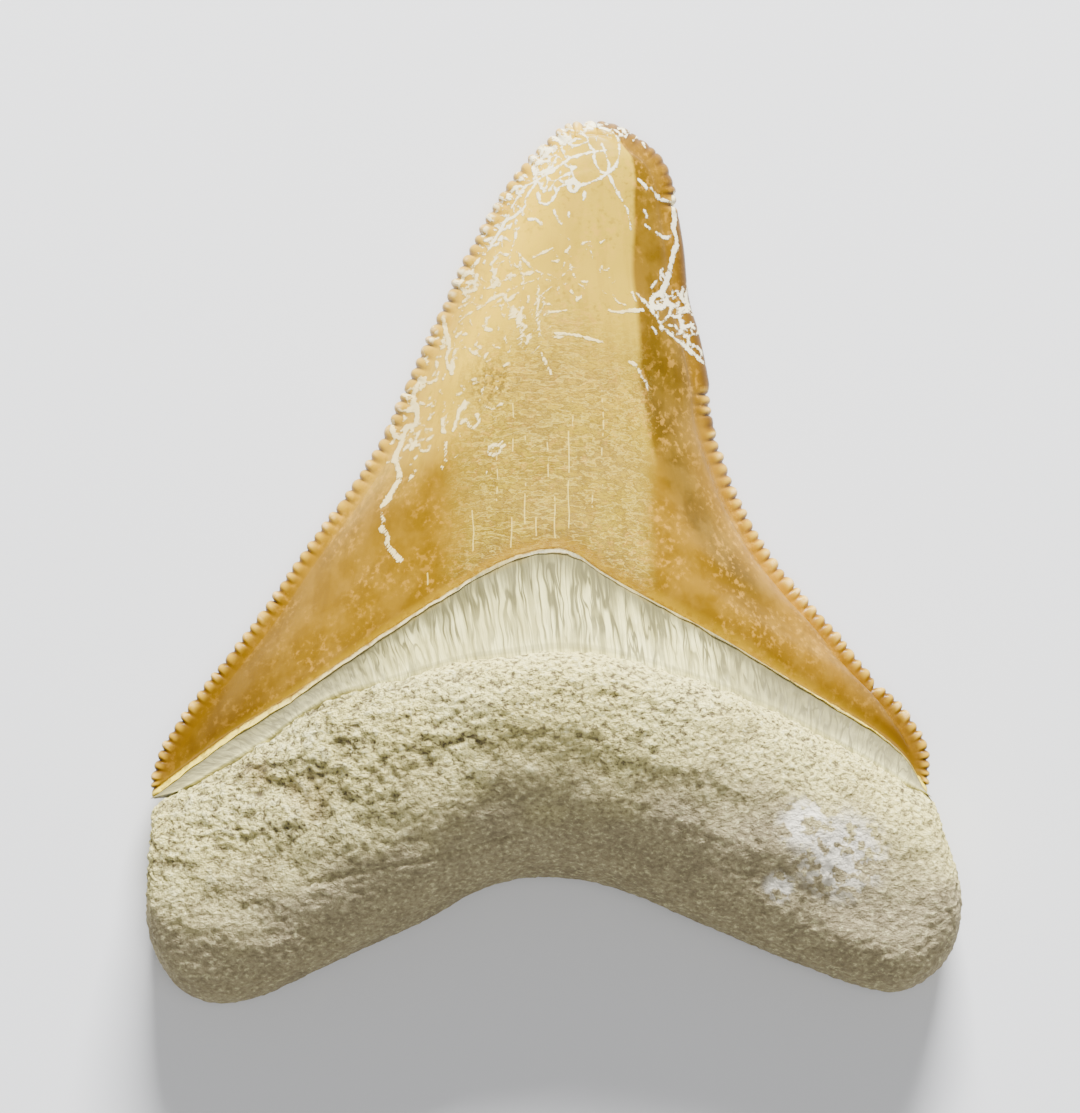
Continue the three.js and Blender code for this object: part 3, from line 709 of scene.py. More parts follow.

# The ground colour: paler up the crown, and duller down its middle, where the pale tan is partly the enamel's
# own and partly a painted reflection of the light, with a dark flank right of the crease that is partly
# deeper amber and partly painted shade
upper = colour_ramp(tree, across, UPPER_ENAMEL_AND_REFLECTION)
lower = colour_ramp(tree, across, LOWER_ENAMEL)
height_share = total(tree, upward, swing(tree, mottled(tree, place, 6.0, 0.3, 0.7), 0.06))
centre = product(tree, remap(tree, x_place, -0.0076, -0.0040), remap(tree, x_place, 0.0066, 0.0050))
centre = product(tree, centre, tongue_side)
middle_share = product(tree, centre, remap(tree, margin_gap, 0.4, 1.4))
lower = blend(tree, middle_share, lower, srgb(MIDDLE_ENAMEL_AND_REFLECTION))
colour = blend(tree, remap(tree, height_share, 0.36, 0.62), lower, upper)
# Painted shade on the flank right of the crease, over its deeper amber
crease_flank_shade = product(tree, remap(tree, across, 0.745, 0.80), remap(tree, across, 0.92, 0.82))
crease_flank_shade = product(tree, crease_flank_shade, remap(tree, upward, 0.14, 0.30), remap(tree, upward, 0.75, 0.55))
colour = tint(tree, colour, crease_flank_shade, 0.85, FLANK_ENAMEL_AND_SHADE)
colour = tint(tree, colour, remap(tree, upward, 0.16, 0.02), 0.8, CORNER_ENAMEL)

# Upright streaks that fade up the crown, clouds, and worn patches with a fine stipple
upright = stretched(tree, place, 1.0, 0.06, 1.0)
streak = place_group(tree, fibres, Place=upright, Fineness=1300.0, Contrast=1.6)
streak_share = product(tree, rest_of(tree, upward), 0.42)
colour = tint(tree, colour, remap(tree, streak, 0.44, 0.64), streak_share, STREAK_BROWN)
cloud = mottled(tree, place, 2.2, 0.42, 0.62)
colour = tint(tree, colour, cloud, 0.10, CLOUD_YELLOW)
stipple = noise(tree, place, 2400.0, 3.0, 0.6)
peeled = product(tree, mottled(tree, place, 3.4, 0.36, 0.60), 0.35)
colour = tint(tree, colour, remap(tree, stipple, 0.50, 0.66), peeled, PEELED_PALE)
colour = tint(tree, colour, remap(tree, stipple, 0.46, 0.32), peeled, PEELED_BROWN)

# The crackled middle: dark scratches across the tooth and painted glints of light along them, drawn as
# contours of stretched noise
level = stretched(tree, place, 0.3, 1.0, 1.0)
scratches = place_group(tree, fibres, Place=level, Fineness=2600.0, Contrast=1.6)
fine_scratches = place_group(tree, fibres, Place=level, Fineness=4600.0, Contrast=1.6)
crackled = product(tree, centre, remap(tree, upward, 0.68, 0.50))
patchy = mottled(tree, place, 2.6, 0.3, 0.7)
colour = tint(tree, colour, product(tree, crackled, patchy), 0.25, MIDDLE_GREY)
long_cracks = contour(tree, scratches, 0.46, 0.05)
fine_cracks = contour(tree, fine_scratches, 0.5, 0.06)
scratched = product(tree, crackled, combine(tree, "MAXIMUM", long_cracks, fine_cracks))
colour = tint(tree, colour, scratched, 0.5, SCRATCH_BROWN)
colour = tint(tree, colour, product(tree, crackled, contour(tree, scratches, 0.58, 0.05)), 0.35, SCRATCH_GLINT)

# Along the cutting edges and the lower margin, and the deep amber of the two corners
colour = tint(tree, colour, remap(tree, edge_gap, 2.2, 0.6), 0.2, EDGE_ENAMEL)
colour = tint(tree, colour, remap(tree, margin_gap, 1.3, 0.3), 0.75, MARGIN_ENAMEL)
outer = remap(tree, combine(tree, "ABSOLUTE", x_place), 0.013, 0.022)
colour = tint(tree, colour, outer, 0.6, OUTER_ENAMEL)

# The frayed rim of the margin: cream in the middle and yellow on the flanks, with a broken crack inside it
frayed = noise(tree, place, 1500.0, 4.0, 0.7)
flank = remap(tree, combine(tree, "ABSOLUTE", combine(tree, "SUBTRACT", across, 0.5)), 0.18, 0.42)
rim_reach = total(tree, product(tree, frayed, 0.34), product(tree, flank, 0.18))
rim = remap(tree, combine(tree, "SUBTRACT", rim_reach, margin_gap), -0.08, 0.10)
rim_colour = blend(tree, flank, srgb(MARGIN_CREAM), srgb(MARGIN_RIM))
wrinkle = product(tree, remap(tree, frayed, 0.52, 0.42), remap(tree, margin_gap, 1.1, 0.25))
colour = tint(tree, colour, wrinkle, 0.45, MARGIN_BROWN)
past_rim = combine(tree, "ABSOLUTE", combine(tree, "SUBTRACT", margin_gap, total(tree, rim_reach, 0.10)))
crack = product(tree, remap(tree, past_rim, 0.07, 0.02), remap(tree, stipple, 0.40, 0.52))
colour = tint(tree, colour, crack, 0.6, MARGIN_CRACK)
rim_share = product(tree, rim, remap(tree, stipple, 0.38, 0.52, 0.5, 1.0))
rim_share = product(tree, rim_share, total(tree, product(tree, flank, 0.2), 0.65))
colour = blend(tree, rim_share, colour, rim_colour)

# The serrations: bright beads, whitened on the left above the middle, with a painted peach highlight on their
# tops and painted shade in the dark gaps between them
near_edge = remap(tree, edge_gap, 0.85, 0.15)
colour = tint(tree, colour, near_edge, remap(tree, bead, 0.45, 0.85), BEAD_ENAMEL)
whitened = product(tree, remap(tree, across, 0.4, 0.3), remap(tree, upward, 0.56, 0.64))
whitened = product(tree, whitened, remap(tree, cloud, 0.35, 0.65), remap(tree, bead, 0.6, 0.9))
colour = tint(tree, colour, whitened, remap(tree, edge_gap, 0.75, 0.3), BEAD_CREAM)
lit_bead_tops = product(tree, remap(tree, bead, 0.75, 0.98), remap(tree, edge_gap, 0.6, 0.2))
lit_bead_tops = product(tree, lit_bead_tops, remap(tree, stipple, 0.40, 0.56, 0.3, 1.0))
colour = tint(tree, colour, lit_bead_tops, 0.6, BEAD_TOP_HIGHLIGHT)
gap_shade_share = product(tree, remap(tree, edge_gap, 0.9, 0.25), remap(tree, bead, 0.5, 0.15))
colour = tint(tree, colour, gap_shade_share, 0.7, BEAD_GAP_SHADE)

# Hairlines, the specks of one stain, and the etched lines with their torn edges
for x, from_y, to_y, broken in HAIRLINES:
    hair = place_group(
        tree, hairline, Place=place, X=x * MM, From_Y=from_y * MM, To_Y=to_y * MM, Broken=broken)
    colour = tint(tree, colour, product(tree, hair, tongue_side), 0.6, HAIRLINE_PALE)
to_stain = far_from(tree, stretched(tree, place, 1.0, 1.0, 0.0), SPECK_PLACE)
specks = remap(tree, noise(tree, place, 3800.0, 3.0), 0.47, 0.58)
specks = product(tree, specks, remap(tree, to_stain, 0.0024, 0.0005))
colour = tint(tree, colour, specks, 0.55, SPECK_DARK)
ragged = combine(tree, "SUBTRACT", noise(tree, place, 2600.0, 4.0, 0.75), 0.48)
uneven = noise(tree, place, 900.0, 2.0)
torn = total(tree, etching, product(tree, ragged, 0.42), swing(tree, uneven, 0.30))
etched = remap(tree, torn, 0.03, -0.03)
whiter = combine(tree, "MAXIMUM", remap(tree, upward, 0.70, 0.82), remap(tree, across, 0.72, 0.80))
etched_colour = blend(tree, whiter, srgb(ETCHED_CREAM), srgb(ETCHED_WHITE))
colour = blend(tree, product(tree, etched, 0.88), colour, etched_colour)

tree.links.new(colour, shader.inputs["Base Color"])
dullness = total(tree, product(tree, scratches, 0.12), 0.28, product(tree, etched, 0.35))
tree.links.new(dullness, shader.inputs["Roughness"])
shader.inputs["Specular IOR Level"].default_value = 0.10
shader.inputs["Coat Weight"].default_value = 0.03
shader.inputs["Coat Roughness"].default_value = 0.15
relief = total(tree, product(tree, noise(tree, place, 900.0, 3.0), 0.25), product(tree, scratched, -0.25))
relief = total(tree, relief, product(tree, streak, 0.2), product(tree, etched, 2.0))
roughen(tree, shader, relief, 0.5, 0.00006)
crown.data.materials.append(enamel)
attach(crown, "root")
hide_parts("tooth")

# The root
# Two blunt lobes with an arch between them, porous dentine turned to stone, dull and grainy. Its upper
# edge swells into a lip under the dental band, and its left lobe is rough and fibrous.
ROOT_UPPER_EDGE = [
    (-25.5, -20.7), (-25.3, -17.5), (-24.9, -15.4), (-22.2, -13.7), (-18.5, -11.5), (-14.1, -8.6),
    (-10.3, -7.5), (-5.9, -6.3), (-2.7, -5.9), (0.4, -5.6), (3.6, -5.9), (8.0, -7.1), (11.7, -8.4),
    (15.5, -10.2), (19.3, -12.2), (22.1, -13.9), (23.7, -15.0), (24.5, -17.2), (25.1, -19.1),
    (25.5, -20.7),
]
ROOT_LOWER_EDGE = [
    (-25.5, -20.7), (-25.5, -22.9), (-24.9, -24.9), (-23.5, -26.9), (-21.3, -27.8), (-18.5, -27.4),
    (-14.7, -25.7), (-10.9, -23.9), (-7.8, -22.5), (-5.3, -21.0), (-2.7, -20.1), (-0.5, -19.9),
    (2.3, -20.2), (5.4, -21.2), (9.8, -23.1), (14.9, -25.2), (18.6, -26.6), (21.4, -27.1),
    (23.7, -26.0), (25.1, -24.1), (25.5, -22.2), (25.5, -20.7),
]
LOBE_MIDDLE_HEIGHT = 3.3
ARCH_MIDDLE_HEIGHT = 4.3
ROOT_LIP_RISE = 5.4
LOBE_BULGE = 3.9
ARCH_BULGE = 4.7
ARCH_FLOOR = 0.35
CORNER_SHARE = 0.105
# Lumps and hollows: X and Y, half widths in X and Y, and height, in millimetres
ROOT_LUMPS = [
    (-16.0, -14.0, 2.6, 1.5, -0.55), (-18.5, -12.6, 3.2, 1.0, 0.35), (-15.6, -9.6, 2.2, 0.8, 0.4),
    (-6.2, -12.2, 2.4, 1.2, -0.3), (15.8, -17.2, 3.0, 1.6, 0.45), (19.5, -21.5, 3.4, 2.0, -0.3),
    (-21.5, -22.0, 2.6, 3.0, 0.35), (24.2, -20.2, 1.4, 1.2, 0.4),
]
# Creases: half width, depth and the points that each runs through, in millimetres
ROOT_CREASES = [
    (0.10, 0.16, [(-15.6, -20.3), (-11.5, -19.4), (-7.1, -18.5), (-2.0, -17.1)]),
    (0.10, 0.14, [(-15.9, -23.2), (-14.8, -23.7), (-13.4, -24.1)]),
]
PORE_CLUSTER = (-5.6, -12.6)
ROOT_STATIONS = 560
TURNS_OVER, TURNS_UNDER = 132, 44
WAVE_CELL, STRAND_CELL, PORE_CELL, GRAIN_CELL, GRIT_CELL = 1.3, 1.0, 0.95, 0.5, 0.3
GRAIN_LIMIT = 0.15
GRAIN_SINK = 0.06

root_upper = smooth_outline(ROOT_UPPER_EDGE)
root_lower = smooth_outline(ROOT_LOWER_EDGE)


def arch_share(u):
    """1 at the arch in the middle of the root, falling to 0 at the lobes as a squared cosine."""
    return np.cos(np.clip((u - 0.5) / 0.9, -0.5, 0.5) * np.pi) ** 2


def edge_to_edge(angle):
    """Share of the way from the root's lower edge to its upper one at an angle round the section: half of
    1 less the cosine, with the cosine's size to the power 0.8."""
    cosine = np.cos(angle)
    return 0.5 - 0.5 * np.sign(cosine) * np.abs(cosine) ** 0.8


def root_surface(u, angle):
    """Points of the root. u runs from the left lobe's end to the right one's, and angle once round the
    section, a squared ellipse between the lower and the upper edge. Its upper half bulges by the lobe's
    or the arch's height with the lumps added, and its lower half is flattened to the table."""
    u, angle = np.broadcast_arrays(u, angle)
    sine = np.sin(angle)
    q = edge_to_edge(angle)
    plan = lerp(along(root_lower, u), along(root_upper, u), q[..., None])
    x, y = plan[..., 0], plan[..., 1]
    ends = np.sqrt(np.maximum(0, 1 - np.abs(2 * u - 1) ** 7))
    under_band = eased(0.5 - np.abs(u - 0.5), CORNER_SHARE - 0.02, CORNER_SHARE + 0.03)
    baseline = lerp(LOBE_MIDDLE_HEIGHT, ARCH_MIDDLE_HEIGHT, arch_share(u))
    baseline = baseline + q * ROOT_LIP_RISE * arch_share(u) * under_band
    lumps = 0.12 * np.sin(0.9 * x + 0.5 * y) * np.sin(1.1 * y - 0.4 * x + 0.6)
    for at_x, at_y, half_x, half_y, height in ROOT_LUMPS:
        lumps = lumps + height * np.exp(-((x - at_x) / half_x) ** 2 - ((y - at_y) / half_y) ** 2)
    bulge = (lerp(LOBE_BULGE, ARCH_BULGE, arch_share(u)) + lumps) * np.abs(sine) ** 0.8 * ends
    lobe = np.exp(-((np.abs(u - 0.5) - 0.27) / 0.09) ** 2)
    floor = ARCH_FLOOR * np.clip(1.25 - 2.5 * lobe, 0, 1)
    squareness = np.where(q > 0.5, lerp(0.8, 0.3, under_band), 0.8)
    share = np.minimum(1, 1.12 * np.abs(sine) ** squareness) * ends
    height = np.where(sine >= 0, baseline + bulge, lerp(baseline, floor, share))
    return np.dstack([plan, height])


def lattice_noise(points, cell, seed):
    """Smooth noise from -1 to 1: random values on a cubic lattice of that cell size, blended between the
    eight corners round a point by the eased share of the way along x, y and z."""
    values = np.random.default_rng(seed).uniform(-1, 1, (64, 64, 64))
    where = points / cell
    corner = np.floor(where).astype(int)
    share = eased(where - corner, 0, 1)
    total = 0
    for step in np.ndindex(2, 2, 2):
        i, j, k = ((corner[..., n] + step[n]) % 64 for n in range(3))
        weight = np.prod([np.abs(1 - step[n] - share[..., n]) for n in range(3)], axis=0)
        total = total + values[i, j, k] * weight
    return total


def nearest_grain(points, cell, seed):
    """Distance in cells to the nearest grain, where each cell of a cubic lattice holds one grain at a
    random place: the least distance over a cell and its 26 neighbours."""
    places = np.random.default_rng(seed).uniform(0, 1, (64, 64, 64, 3))
    where = points / cell
    corner = np.floor(where).astype(int)
    nearest = np.full(points.shape[:-1], 9.0)
    for step in np.ndindex(3, 3, 3):
        home = corner + np.array(step) - 1
        grain = home + places[home[..., 0] % 64, home[..., 1] % 64, home[..., 2] % 64]
        nearest = np.minimum(nearest, np.linalg.norm(where - grain, axis=-1))
    return nearest


def outward(points):
    """Unit normals of a grid whose rows are rings: the cross product of the steps along and round it,
    turned away from the middle line of the rings."""
    round_step = np.roll(points, -1, axis=1) - np.roll(points, 1, axis=1)
    normal = np.cross(np.gradient(points, axis=0), round_step)
    normal /= np.maximum(np.linalg.norm(normal, axis=-1, keepdims=True), 1e-9)
    middle = points.mean(axis=1, keepdims=True)
    return normal * np.sign(np.sum(normal * (points - middle)))


even = np.linspace(0, 1, ROOT_STATIONS)
stations = lerp(0.5 - 0.5 * np.cos(np.pi * even), even, 0.45)[:, None]
turns_over = np.arange(TURNS_OVER) / TURNS_OVER
turns_under = 1 + np.arange(TURNS_UNDER) / TURNS_UNDER
turns = np.pi * np.concatenate([turns_over, turns_under])[None]
smooth_root = root_surface(stations, turns)
root_normals = outward(smooth_root)

# How far up the root each point lies: from edge to edge, and by its Y at the two closed ends
rise_at_ends = eased(smooth_root[..., 1], -27.0, -15.0)
from_end = np.minimum(stations, 1 - stations)
rise = lerp(rise_at_ends, edge_to_edge(turns), eased(from_end, 0.0, 0.08))

# The grain: waves, close-set grains and grit, drawn out along X. The left lobe is spongy, with slanting
# strands, and pores are strewn over the upper part and set close in one cluster.
spongy = eased(-smooth_root[..., 0], 7, 12) * eased(rise, 0.25, 0.6) * eased(np.sin(turns), -0.6, -0.1)
drawn_out = smooth_root / np.array([1.55, 1.0, 1.0])
waves = lattice_noise(drawn_out, WAVE_CELL, 20)
flaked = drawn_out + 0.22 * lattice_noise(drawn_out, 0.5, 26)[..., None]
grains = 0.45 - nearest_grain(flaked, GRAIN_CELL, 21)
grit = lattice_noise(drawn_out, GRIT_CELL, 22)
slanted = smooth_root @ np.array([[0.62, -0.78, 0], [0.78, 0.62, 0], [0, 0, 1]]).T
bent_strands = slanted / np.array([1.2, 0.6, 0.6]) + 0.5 * lattice_noise(smooth_root, 1.1, 27)[..., None]
strands = lattice_noise(bent_strands, STRAND_CELL, 23)
to_cluster = np.linalg.norm(smooth_root[..., :2] - np.array(PORE_CLUSTER), axis=-1)
pore_share = 0.25 * eased(lattice_noise(smooth_root, 3.0, 25), -0.1, 0.6) * eased(rise, 0.3, 0.6)
pore_share = np.maximum(pore_share, 1 - eased(to_cluster, 1.2, 2.6))
pores = (1 - eased(nearest_grain(drawn_out, PORE_CELL, 24), 0.10, 0.30)) * pore_share
grain_height = lerp(0.22, 0.30, spongy) * grains + lerp(0.045, 0.075, spongy) * grit + 0.05 * waves
grain_height = grain_height + 0.13 * spongy * strands - lerp(0.10, 0.20, spongy) * pores
grain_height = grain_height * lerp(0.6, 1.0, eased(rise, 0.2, 0.6))
creases = np.zeros(grain_height.shape)
for width, depth, points in ROOT_CREASES:
    beside = distance_to_line(smooth_root[..., :2], points, 1.0)
    creases = np.maximum(creases, depth * np.exp(-(beside / width) ** 2) * (smooth_root[..., 2] > 4))
inside_box = eased(np.sin(np.pi * even), 0, 0.02)[:, None]
height = (np.minimum(grain_height, GRAIN_LIMIT) - creases - GRAIN_SINK) * inside_box
root_points = smooth_root + root_normals * height[..., None]
root_points[..., 2] = np.maximum(root_points[..., 2], 0)
root = closed_grid("root", root_points, pore=pores, grain=grain_height, spongy=spongy, rise=rise)

ROOT_CREAM = "F0E28C"
ROOT_SHADE = "A09474"
ROOT_PIT_AND_SHADE = "665A40"
ROOT_PALE = "FAF0A4"
CHALK_WHITE = "F4EEDC"
ROOT_RUST = "9A7448"
ROOT_GRIME_AND_SHADE = "80745A"
ROOT_TOPS_AND_HIGHLIGHT = "FFF8B8"
# Round patches of chalk and rust: middle and radius in metres
CHALK_PATCHES = [
    ((0.0178, -0.0184, 0.0), 0.0036), ((0.0139, -0.0204, 0.0), 0.0013), ((0.0155, -0.0165, 0.0), 0.0022),
]
RUST_PATCHES = [((-0.0152, -0.0148, 0.0), 0.0022), ((-0.0185, -0.0134, 0.0), 0.0014)]


def patch_mask(tree, patches_at, plan_place):
    """The largest of the soft round patches, each 1 in its middle and 0 at its radius."""
    mask = 0.0
    for middle, radius in patches_at:
        spot = remap(tree, far_from(tree, plan_place, middle), radius, radius * 0.3)
        mask = combine(tree, "MAXIMUM", spot, mask)
    return mask


stone, tree, shader, place = start_material("root_stone")
grain, pore = attribute(tree, "grain"), attribute(tree, "pore")
rise_share, spongy_share = attribute(tree, "rise"), attribute(tree, "spongy")

# Cream, and towards the arch, under the lobes and on the right lobe's lower end a duller, darker colour with
# calmer grain and darker mottling: partly the stone's own duller tone and partly painted shade of the faces
# turned from the light
patches = mottled(tree, place, 5.0, 0.35, 0.65)
colour = tint(tree, srgb(ROOT_CREAM), patches, 0.5, ROOT_PALE)
x_place = new_node(tree, "ShaderNodeSeparateXYZ", {0: place}).outputs["X"]
level_share = combine(tree, "SUBTRACT", rise_share, product(tree, remap(tree, x_place, 0.003, 0.013), 0.22))
low_share = remap(tree, total(tree, level_share, product(tree, patches, 0.16)), 0.84, 0.28)
colour = tint(tree, colour, low_share, 0.95, ROOT_SHADE)
calm = rest_of(tree, product(tree, low_share, 0.5))
colour = tint(tree, colour, product(tree, mottled(tree, place, 1.7, 0.42, 0.68), low_share), 0.4, ROOT_GRIME_AND_SHADE)

# Dark where the modelled grain lies low and in the pores, and pale on its tops: partly the stone's own dark
# pits and pale grains, and partly painted shade in the hollows and a painted highlight on the tops
colour = tint(tree, colour, product(tree, remap(tree, grain, -0.02, -0.14), calm), 0.6, ROOT_PIT_AND_SHADE)
lit_tops = product(tree, remap(tree, grain, 0.04, 0.12), rest_of(tree, product(tree, low_share, 0.35)))
colour = tint(tree, colour, lit_tops, 0.6, ROOT_TOPS_AND_HIGHLIGHT)
colour = tint(tree, colour, pore, 0.6, ROOT_PIT_AND_SHADE)

# A finer grit than the mesh holds, in flat bent grains, its dark hollows and pale tops partly the grit's own
# colour and partly painted shade and highlight
wobbling = {"Vector": place, "Scale": 2400.0, "Detail": 2.0}
wobble = new_node(tree, "ShaderNodeTexNoise", wobbling).outputs["Color"]
bending = {0: wobble, 1: (0.00022, 0.00022, 0.00022), 2: place}
bent = new_node(tree, "ShaderNodeVectorMath", bending, operation="MULTIPLY_ADD").outputs[0]
flat_grain = stretched(tree, bent, 0.8, 1.0, 1.0)
sand = new_node(tree, "ShaderNodeTexVoronoi", {"Vector": flat_grain, "Scale": 3600.0}).outputs["Distance"]
fine_grit = noise(tree, flat_grain, 3800.0, 4.0, 0.65)
colour = tint(tree, colour, remap(tree, fine_grit, 0.53, 0.36, 0.0, 0.95), calm, ROOT_PIT_AND_SHADE)
colour = tint(tree, colour, remap(tree, fine_grit, 0.54, 0.68, 0.0, 0.9), calm, ROOT_TOPS_AND_HIGHLIGHT)

# Rust on the left lobe and chalk on the right one
plan_place = stretched(tree, place, 1.0, 1.0, 0.0)
rust = product(tree, patch_mask(tree, RUST_PATCHES, plan_place), remap(tree, fine_grit, 0.35, 0.6))
colour = tint(tree, colour, rust, 0.4, ROOT_RUST)
chalk = product(tree, patch_mask(tree, CHALK_PATCHES, plan_place), mottled(tree, place, 0.8, 0.44, 0.54))
colour = tint(tree, colour, chalk, 0.9, CHALK_WHITE)

tree.links.new(colour, shader.inputs["Base Color"])
shader.inputs["Roughness"].default_value = 0.85
shader.inputs["Specular IOR Level"].default_value = 0.25
relief = combine(tree, "SUBTRACT", product(tree, fine_grit, 1.6), product(tree, sand, 0.35))
relief = product(tree, relief, total(tree, calm, product(tree, spongy_share, 0.6)))
roughen(tree, shader, relief, 1.0, 0.0003)
root.data.materials.append(stone)
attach(root, "root")
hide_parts("tooth")

# The dental band
# The pale chevron between enamel and root, smooth dentine with fine upright olive lines. It lies a
# little below both of them and runs on under the enamel and under the root's lip.
BAND_RECESS = 0.2
BAND_LEAST_HEIGHT = 1.2
BAND_HOLLOW = 0.1
BAND_STATIONS = 520
LIP_ANGLE = 0.91 * np.pi


def band_surface(t, w, drop):
    """Points of the band. t runs from the left base corner to the right one, and w across the band from
    the root's lip to the enamel. The height runs evenly from lip to margin, less the recess, a shallow
    hollow sin(pi w) and the drop that takes the edges down under their neighbours."""
    corner_place = lerp(CORNER_SHARE, 1 - CORNER_SHARE + 0.01, t)
    lip_height = root_surface(corner_place, np.full_like(t, LIP_ANGLE))[..., 2]
    margin_height = cutting_edge_height(0) + crown_dome(np.zeros_like(t), t) + EDGE_HALF_THICKNESS
    plan = lerp(along(root_upper, corner_place), along(tongue_margin, t), w[None, :, None])
    ends = np.sqrt(np.maximum(0, 1 - np.abs(2 * t - 1) ** 9))
    share = np.clip(w, 0, 1)[None]
    top = lerp(lip_height, margin_height, share) - BAND_RECESS * lerp(1, 0.3, share)
    top = top - BAND_HOLLOW * np.sin(np.pi * share)
    height = top - np.minimum(drop[None], top - BAND_LEAST_HEIGHT) * ends
    return np.dstack([plan, height])


band_w = np.concatenate([[-0.5, -0.3, -0.15], np.linspace(0, 1, 64), [1.03, 1.06, 1.1, 1.1, 0.3, -0.5]])
band_drop = np.concatenate([[0.25, 0.1, 0.0], np.zeros(64), [0.2, 0.6, 1.4, 5.0, 5.0, 5.0]])
t = np.linspace(0, 1, BAND_STATIONS)[1:-1, None]
band_middle = band_surface(t, band_w, band_drop)
along_band = t * tongue_margin[0][-1] + np.zeros_like(band_w)[None]
up_band = np.broadcast_to(band_w[None], along_band.shape)
flat = np.zeros_like(up_band)
line_noise = lattice_noise(np.dstack([along_band, up_band * 0.9, flat]), 0.45, 31)
line_noise = line_noise + 0.6 * lattice_noise(np.dstack([along_band, up_band * 1.6, flat]), 0.2, 32)
on_top = eased(up_band, -0.1, 0.05) * (1 - eased(up_band, 0.97, 1.02))
band_middle[..., 2] += 0.03 * line_noise * on_top * lerp(1, 0.4, eased(up_band, 0.8, 1.0))
corners = np.stack([along(tongue_margin, 0.02), along(tongue_margin, 0.98)])
end_points = np.column_stack([corners - np.array([0, 0.6]), [CORNER_EDGE_HEIGHT] * 2])
end_rings = np.repeat(end_points[:, None], len(band_w), axis=1)
band_points = np.concatenate([end_rings[:1], band_middle, end_rings[1:]])


def band_field(values):
    """A field over the whole band: the first and last rows repeated for its two closed ends."""
    return np.vstack([values[:1], values, values[-1:]])


band = closed_grid(
    "dental_band",
    band_points,
    along=band_field(along_band),
    upward=band_field(up_band),
)

BAND_CREAM = "E6DC8E"
BAND_PALE = "FCF4A6"
BAND_OLIVE = "6A6436"
BAND_GREY = "6E6842"
BAND_VEIN = "5A5430"
BAND_FAR = "6E6846"
BAND_STAIN = "A08838"

dentine, tree, shader, place = start_material("band_dentine")
along_way, up_way = attribute(tree, "along"), attribute(tree, "upward")
sheet = new_node(tree, "ShaderNodeCombineXYZ", {"X": along_way, "Y": product(tree, up_way, 0.32)}).outputs[0]
lines = place_group(tree, fibres, Place=sheet, Fineness=1.7, Contrast=2.6)
hair_lines = place_group(tree, fibres, Place=sheet, Fineness=4.5, Contrast=2.2)
clouds = mottled(tree, place, 2.4, 0.35, 0.65)
colour = blend(tree, clouds, srgb(BAND_CREAM), srgb(BAND_PALE))
colour = tint(tree, colour, remap(tree, lines, 0.50, 0.72), 0.42, BAND_OLIVE)
colour = tint(tree, colour, remap(tree, hair_lines, 0.52, 0.72), 0.35, BAND_OLIVE)

# Dark veins that sway a little and fade out towards the root, contours of noise stretched upwards
swayed = total(tree, along_way, swing(tree, noise(tree, place, 520.0, 1.0), 0.7))
vein_way = {"X": swayed, "Y": product(tree, up_way, 0.55)}
vein_place = new_node(tree, "ShaderNodeCombineXYZ", vein_way).outputs[0]
wide_veins = contour(tree, noise(tree, vein_place, 1.05, 1.0), 0.50, 0.05)
thin_veins = contour(tree, noise(tree, vein_place, 1.9, 1.0), 0.57, 0.04)
vein_reach = total(tree, up_way, swing(tree, clouds, 0.5))
vein_share = remap(tree, vein_reach, -0.1, 0.5, 0.35, 0.85)
colour = tint(tree, colour, combine(tree, "MAXIMUM", wide_veins, thin_veins), vein_share, BAND_VEIN)

# Grey shade below the enamel and at the two far ends, a thin line along the root's lip, and a stain
shade_reach = total(tree, up_way, swing(tree, lines, 0.25))
colour = tint(tree, colour, remap(tree, shade_reach, 0.54, 0.96), 0.85, BAND_GREY)
colour = tint(tree, colour, contour(tree, up_way, 0.02, 0.05), 0.3, BAND_GREY)
x_place = new_node(tree, "ShaderNodeSeparateXYZ", {0: place}).outputs["X"]
far_out = remap(tree, combine(tree, "ABSOLUTE", x_place), 0.008, 0.014)
colour = tint(tree, colour, product(tree, far_out, remap(tree, up_way, -0.4, 0.4)), 0.85, BAND_FAR)
colour = tint(tree, colour, product(tree, remap(tree, up_way, 0.90, 1.0), clouds), 0.5, BAND_STAIN)

tree.links.new(colour, shader.inputs["Base Color"])
shader.inputs["Roughness"].default_value = 0.5
roughen(tree, shader, total(tree, lines, product(tree, hair_lines, 0.5)), 0.4, 0.00008)
band.data.materials.append(dentine)
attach(band, "root")
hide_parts("tooth")

# The table
# A plain pale sheet that the tooth lies on.
FLOOR_HALF = 0.6
PAPER_WHITE = "E6E7E9"
floor_mesh = bpy.data.meshes.new("table_top")
floor_signs = [(-1, -1), (1, -1), (1, 1), (-1, 1)]
floor_corners = [(FLOOR_HALF * x_sign, FLOOR_HALF * y_sign, 0) for x_sign, y_sign in floor_signs]
floor_mesh.from_pydata(floor_corners, [], [(0, 1, 2, 3)])
table_top = bpy.data.objects.new("table_top", floor_mesh)
bpy.context.collection.objects.link(table_top)
paper, tree, shader, place = start_material("pale_paper")
shader.inputs["Base Color"].default_value = srgb(PAPER_WHITE)
shader.inputs["Roughness"].default_value = 0.9
floor_mesh.materials.append(paper)

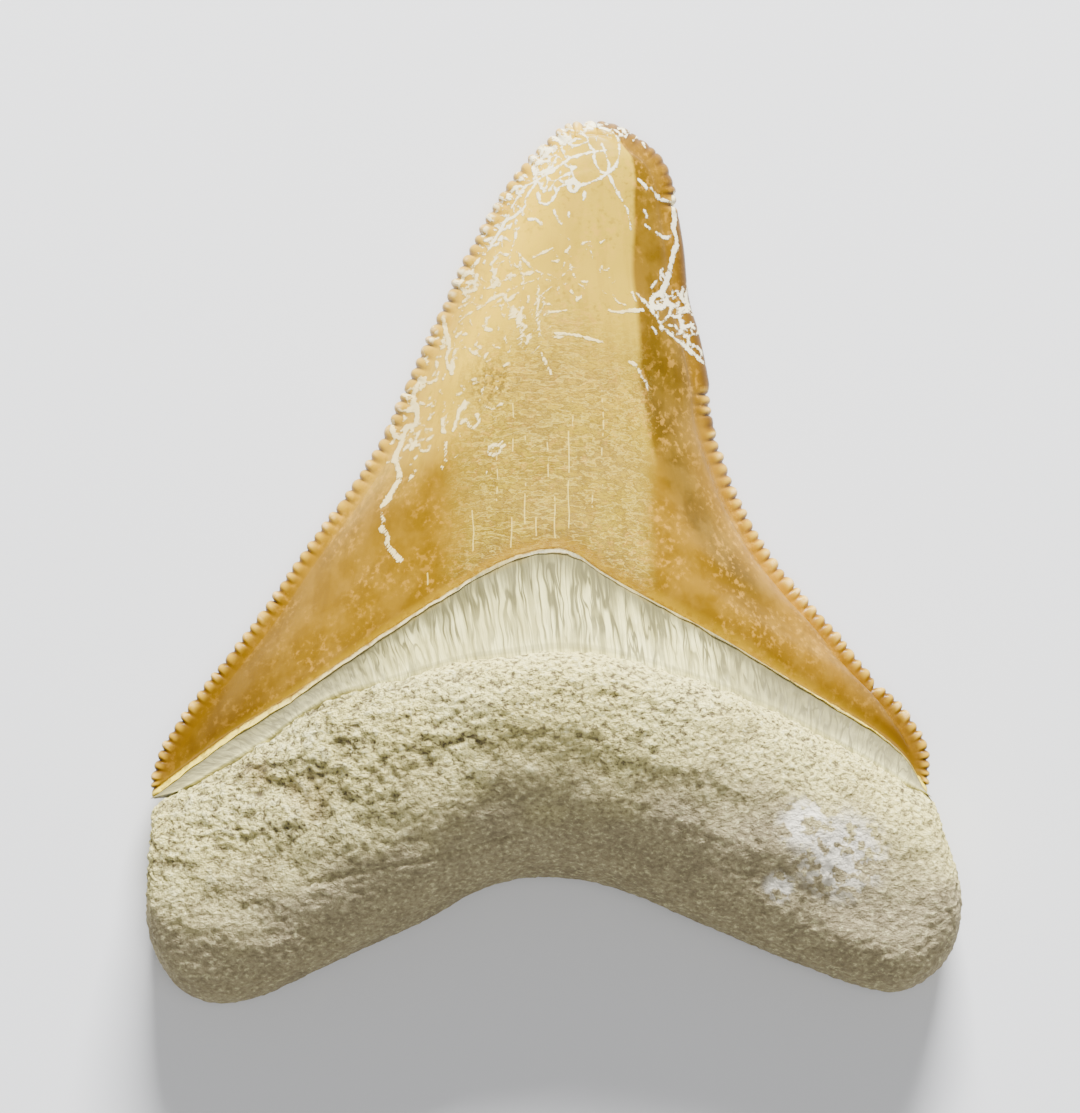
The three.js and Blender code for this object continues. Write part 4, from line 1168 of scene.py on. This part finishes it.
# Light and camera
# A large soft light above the tip, as the tooth is lit from above on its stand, a weaker one above the
# middle whose reflection lies on the crown, and an even grey surround.
# Each softbox: its name, its place, its size in X and Y in metres, and its power in watts
LIGHTS = [
    ("softbox_above_tip", (0.06, 0.53, 0.25), 0.24, 0.12, 20.0),
    ("softbox_over_crown", (0.04, -0.10, 0.50), 0.30, 0.30, 1.2),
]
LIT_SPOT = (0.0, 0.0, 0.0)
SURROUND_GREY = (0.66, 0.66, 0.67, 1)
SURROUND_STRENGTH = 0.36


def aim(thing, place_at, target):
    """Puts a light or camera at a place and turns its -Z axis to the target, with its Y axis towards +Y."""
    back = np.array(place_at, float) - np.array(target, float)
    back /= np.linalg.norm(back)
    side = np.cross([0.0, 1.0, 0.0], back)
    side /= np.linalg.norm(side)
    up = np.cross(back, side)
    matrix = np.eye(4)
    matrix[:3] = np.column_stack([side, up, back, place_at])
    thing.matrix_world = Matrix(matrix.tolist())


for light_name, light_place, size_x, size_y, power in LIGHTS:
    light_data = bpy.data.lights.new(light_name, "AREA")
    light_data.shape = "RECTANGLE"
    light_data.size = size_x
    light_data.size_y = size_y
    light_data.energy = power
    light = bpy.data.objects.new(light_name, light_data)
    bpy.context.collection.objects.link(light)
    aim(light, light_place, LIT_SPOT)

world = bpy.data.worlds.new("grey_surround")
world.use_nodes = True
background = world.node_tree.nodes["Background"]
background.inputs["Color"].default_value = SURROUND_GREY
background.inputs["Strength"].default_value = SURROUND_STRENGTH
bpy.context.scene.world = world

PHOTO_HEIGHT_PX = 1113
PHOTO_PX_PER_MM = 15.92
SENSOR_HEIGHT = 24.0
VIEW_CENTRE = (-0.0009, 0.00023, 0.003)
CAMERA_DISTANCE = 0.42
CAMERA_TILT = np.radians(1.5)
view_height = PHOTO_HEIGHT_PX / PHOTO_PX_PER_MM * MM
camera_data = bpy.data.cameras.new("camera")
camera_data.sensor_fit = "VERTICAL"
camera_data.sensor_height = SENSOR_HEIGHT
camera_data.lens = SENSOR_HEIGHT * CAMERA_DISTANCE / view_height
camera_data.clip_start = 0.01
camera = bpy.data.objects.new("camera", camera_data)
bpy.context.collection.objects.link(camera)
towards_camera = np.array([0, -np.sin(CAMERA_TILT), np.cos(CAMERA_TILT)])
camera_place = np.array(VIEW_CENTRE) + CAMERA_DISTANCE * towards_camera
aim(camera, camera_place, VIEW_CENTRE)
bpy.context.scene.camera = camera
